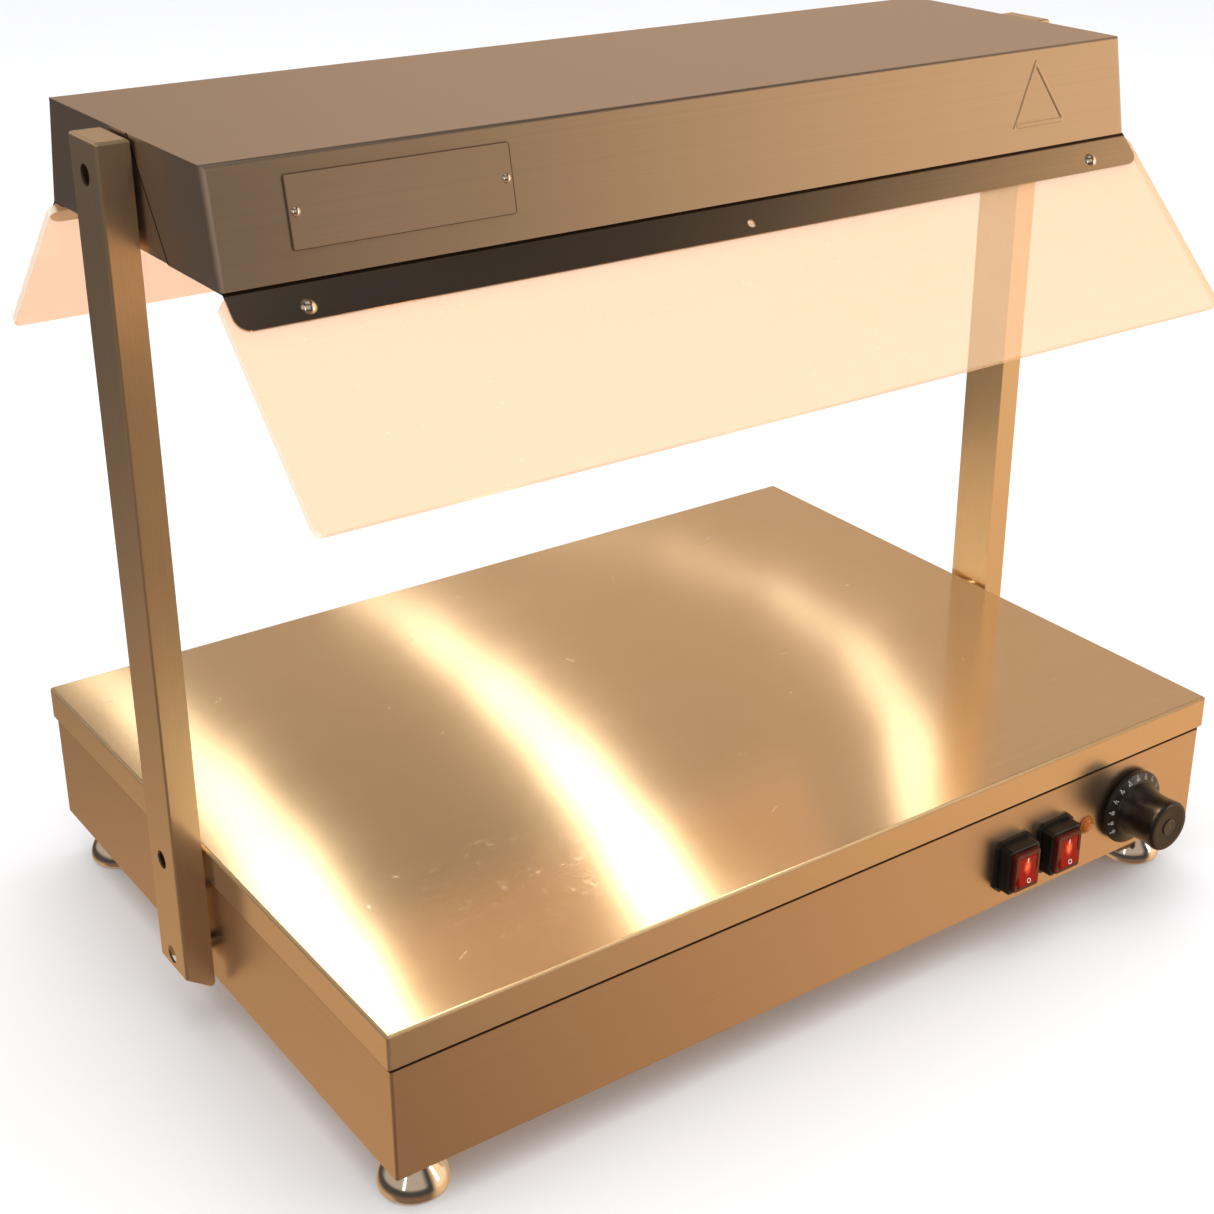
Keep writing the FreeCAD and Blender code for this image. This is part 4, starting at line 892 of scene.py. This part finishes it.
front_floor = sky.mix(right.between(0.24, 0.74), colour(*BROWN_FLOOR), colour(*TAN_FLOOR))
front = sky.mix(up.between(-0.5, -0.2), front_floor, front_walls)
back_walls = sky.mix(right.between(-0.3, 0.6), colour(*DARK_CORNER), colour(*WARM_CORNER))
behind = sky.mix(up.between(-0.60, -0.30), colour(*BACK_FLOOR), back_walls)
around = sky.mix(back.between(-0.15, 0.25), front, behind)
left_wall = up.between(-0.1, 0.15) * (1 - right.between(0.0, 0.36))
walls = sky.mix(left_wall, around, colour(*LEFT_WALL))
ceiling = sky.mix((up + back * 0.15).between(0.54, 0.75), walls, colour(*DARK_CEILING))
seen = sky.mix(up.between(0.86, 0.98), ceiling, colour(*SKYLIGHT))
mirrored = sky.node("ShaderNodeLightPath", out="Is Glossy Ray")
light_of = sky.mix(mirrored, colour(1.0, 1.0, 1.0), seen)
sky.finish(sky.node("ShaderNodeBackground", None, {"Color": light_of, "Strength": 1.0}), "World")
print("floor and room")

# %% [markdown]
# ## Lamps and highlights
# Each heat lamp has a small strip light below it. The lamps' reflections draw two bright bent bands
# on the deck, and there is a fainter third one. A flat sheet can't bend a reflection, so rows of
# short strip lights, set along parabolas over the deck, make the bands. They shine on the deck
# alone. The small polished parts get two tall strip lights of their own, as a studio would give
# them.


# %% Helpers for lights
def panel_light(name, place, target, width, height, power, tint):
    """A rectangular light that faces a target."""
    data = bpy.data.lights.new(name, "AREA")
    data.shape = "RECTANGLE"
    data.size = width
    data.size_y = height
    data.energy = power
    data.color = tint
    light = bpy.data.objects.new(name, data)
    bpy.context.scene.collection.objects.link(light)
    aim = (Vector(target) - Vector(place)).to_track_quat("-Z", "Y")
    light.matrix_world = Matrix.Translation(place) @ aim.to_matrix().to_4x4()
    return light


def downward(name, place, width, depth, power, tint, seen_by):
    """A flat light that shines straight down on some pieces only."""
    below = Vector(place) - Vector((0, 0, 1))
    light = panel_light(name, place, below, width, depth, power, tint)
    light.matrix_world = Matrix.Translation(place)
    light.light_linking.receiver_collection = seen_by
    light.visible_camera = False
    return light


def group(name, pieces):
    """A collection of pieces that a light may be limited to."""
    made = bpy.data.collections.new(name)
    for piece in pieces:
        made.objects.link(piece)
    return made


# %% The lights overhead and in the hood
WHITE = (1.0, 0.98, 0.96)
LAMP_TINT = (1.0, 0.72, 0.40)
LAMP_POWER = 2.6
LAMP_WIDTH, LAMP_DEPTH = 0.09, 0.14
UNDER_LAMP = 0.002
overhead = panel_light("overhead", (0.2, -0.3, 3.2), (0, 0, 0), 4.0, 4.0, 60.0, WHITE)
overhead.visible_glossy = False
solid = [p for p in bpy.context.scene.objects if p.type == "MESH" and p is not floor]
warmed = group("warmed", [p for p in solid if not p.name.endswith(("_glass", "deck_plate"))])
for number, lamp in enumerate(("left_lamp", "right_lamp")):
    low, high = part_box(lamp)
    spot = ((low.x + high.x) / 2, (low.y + high.y) / 2, low.z - UNDER_LAMP)
    downward(f"lamp_{number}", spot, LAMP_WIDTH, LAMP_DEPTH, LAMP_POWER, LAMP_TINT, warmed)

# %% The bands on the deck
BAND_TINT = (1.0, 0.91, 0.76)
BAND_HEIGHT = DECK_TOP + 0.24
TAPER = 0.35
STATIONS = (0.0, 0.16, 0.32, 0.48, 0.64, 0.80)
BANDS = [
    dict(peak=(-0.150, 0.55), bend=0.26, width=0.074, near=5.2, far=1.8, sides=(1, -1)),
    dict(peak=(0.163, 0.60), bend=0.30, width=0.062, near=5.2, far=2.6, sides=(1, -1)),
    dict(peak=(0.530, 0.45), bend=1.05, width=0.044, near=2.4, far=0.9, sides=(1,)),
]
deck_only = group("deck_only", [frame["nodes"]["deck_plate"]])


def band_piece(name, start, end, width, glow):
    """One straight piece of a bent band of light over the deck."""
    middle, along = (start + end) / 2, end - start
    power = glow * math.pi * width * along.length
    spot = (*middle, BAND_HEIGHT)
    piece = downward(name, spot, width, along.length, power, BAND_TINT, deck_only)
    turn = math.atan2(-along.x, along.y)
    piece.matrix_world = piece.matrix_world @ Matrix.Rotation(turn, 4, "Z")
    piece.data.use_shadow = False


for number, band in enumerate(BANDS):
    peak_x, peak_y = band["peak"]
    spots = [Vector((peak_x - band["bend"] * (peak_y - y) ** 2, y)) for y in STATIONS]
    for step, (start, end) in enumerate(zip(spots, spots[1:])):
        far = step / (len(spots) - 2)
        glow = band["near"] * (1 - far) + band["far"] * far
        width = band["width"] * (1 - TAPER * far)
        for side in band["sides"]:
            flip = Vector((1, side))
            band_piece(f"band_{number}_{step}_{side}", start * flip, end * flip, width, glow)
print(len(BANDS), "bands of light on the deck")

# %% Strip lights for the small polished parts
SMALL_PARTS = ("_bell", "_screws", "_boot", "_cap", "_knob", "_jewel")
CARDS = [
    dict(name="card_right", place=(1.3, -1.5, 0.45), width=0.30, height=1.1, glow=3.0),
    dict(name="card_left", place=(-1.9, -1.2, 0.7), width=0.25, height=1.2, glow=2.0),
]
CARD_AIM = (0, 0, 0.15)
small_parts = group(
    "small_parts", [p for p in bpy.context.scene.objects if p.name.endswith(SMALL_PARTS)]
)
for card in CARDS:
    width, height = card["width"], card["height"]
    power = card["glow"] * math.pi * width * height
    light = panel_light(card["name"], card["place"], CARD_AIM, width, height, power, WHITE)
    light.light_linking.receiver_collection = small_parts
    light.data.use_shadow = False
    light.visible_camera = False

# %% [markdown]
# ## The picture
# The plain display transform keeps bright parts white.

# %% The display
bpy.context.scene.view_settings.view_transform = "Standard"
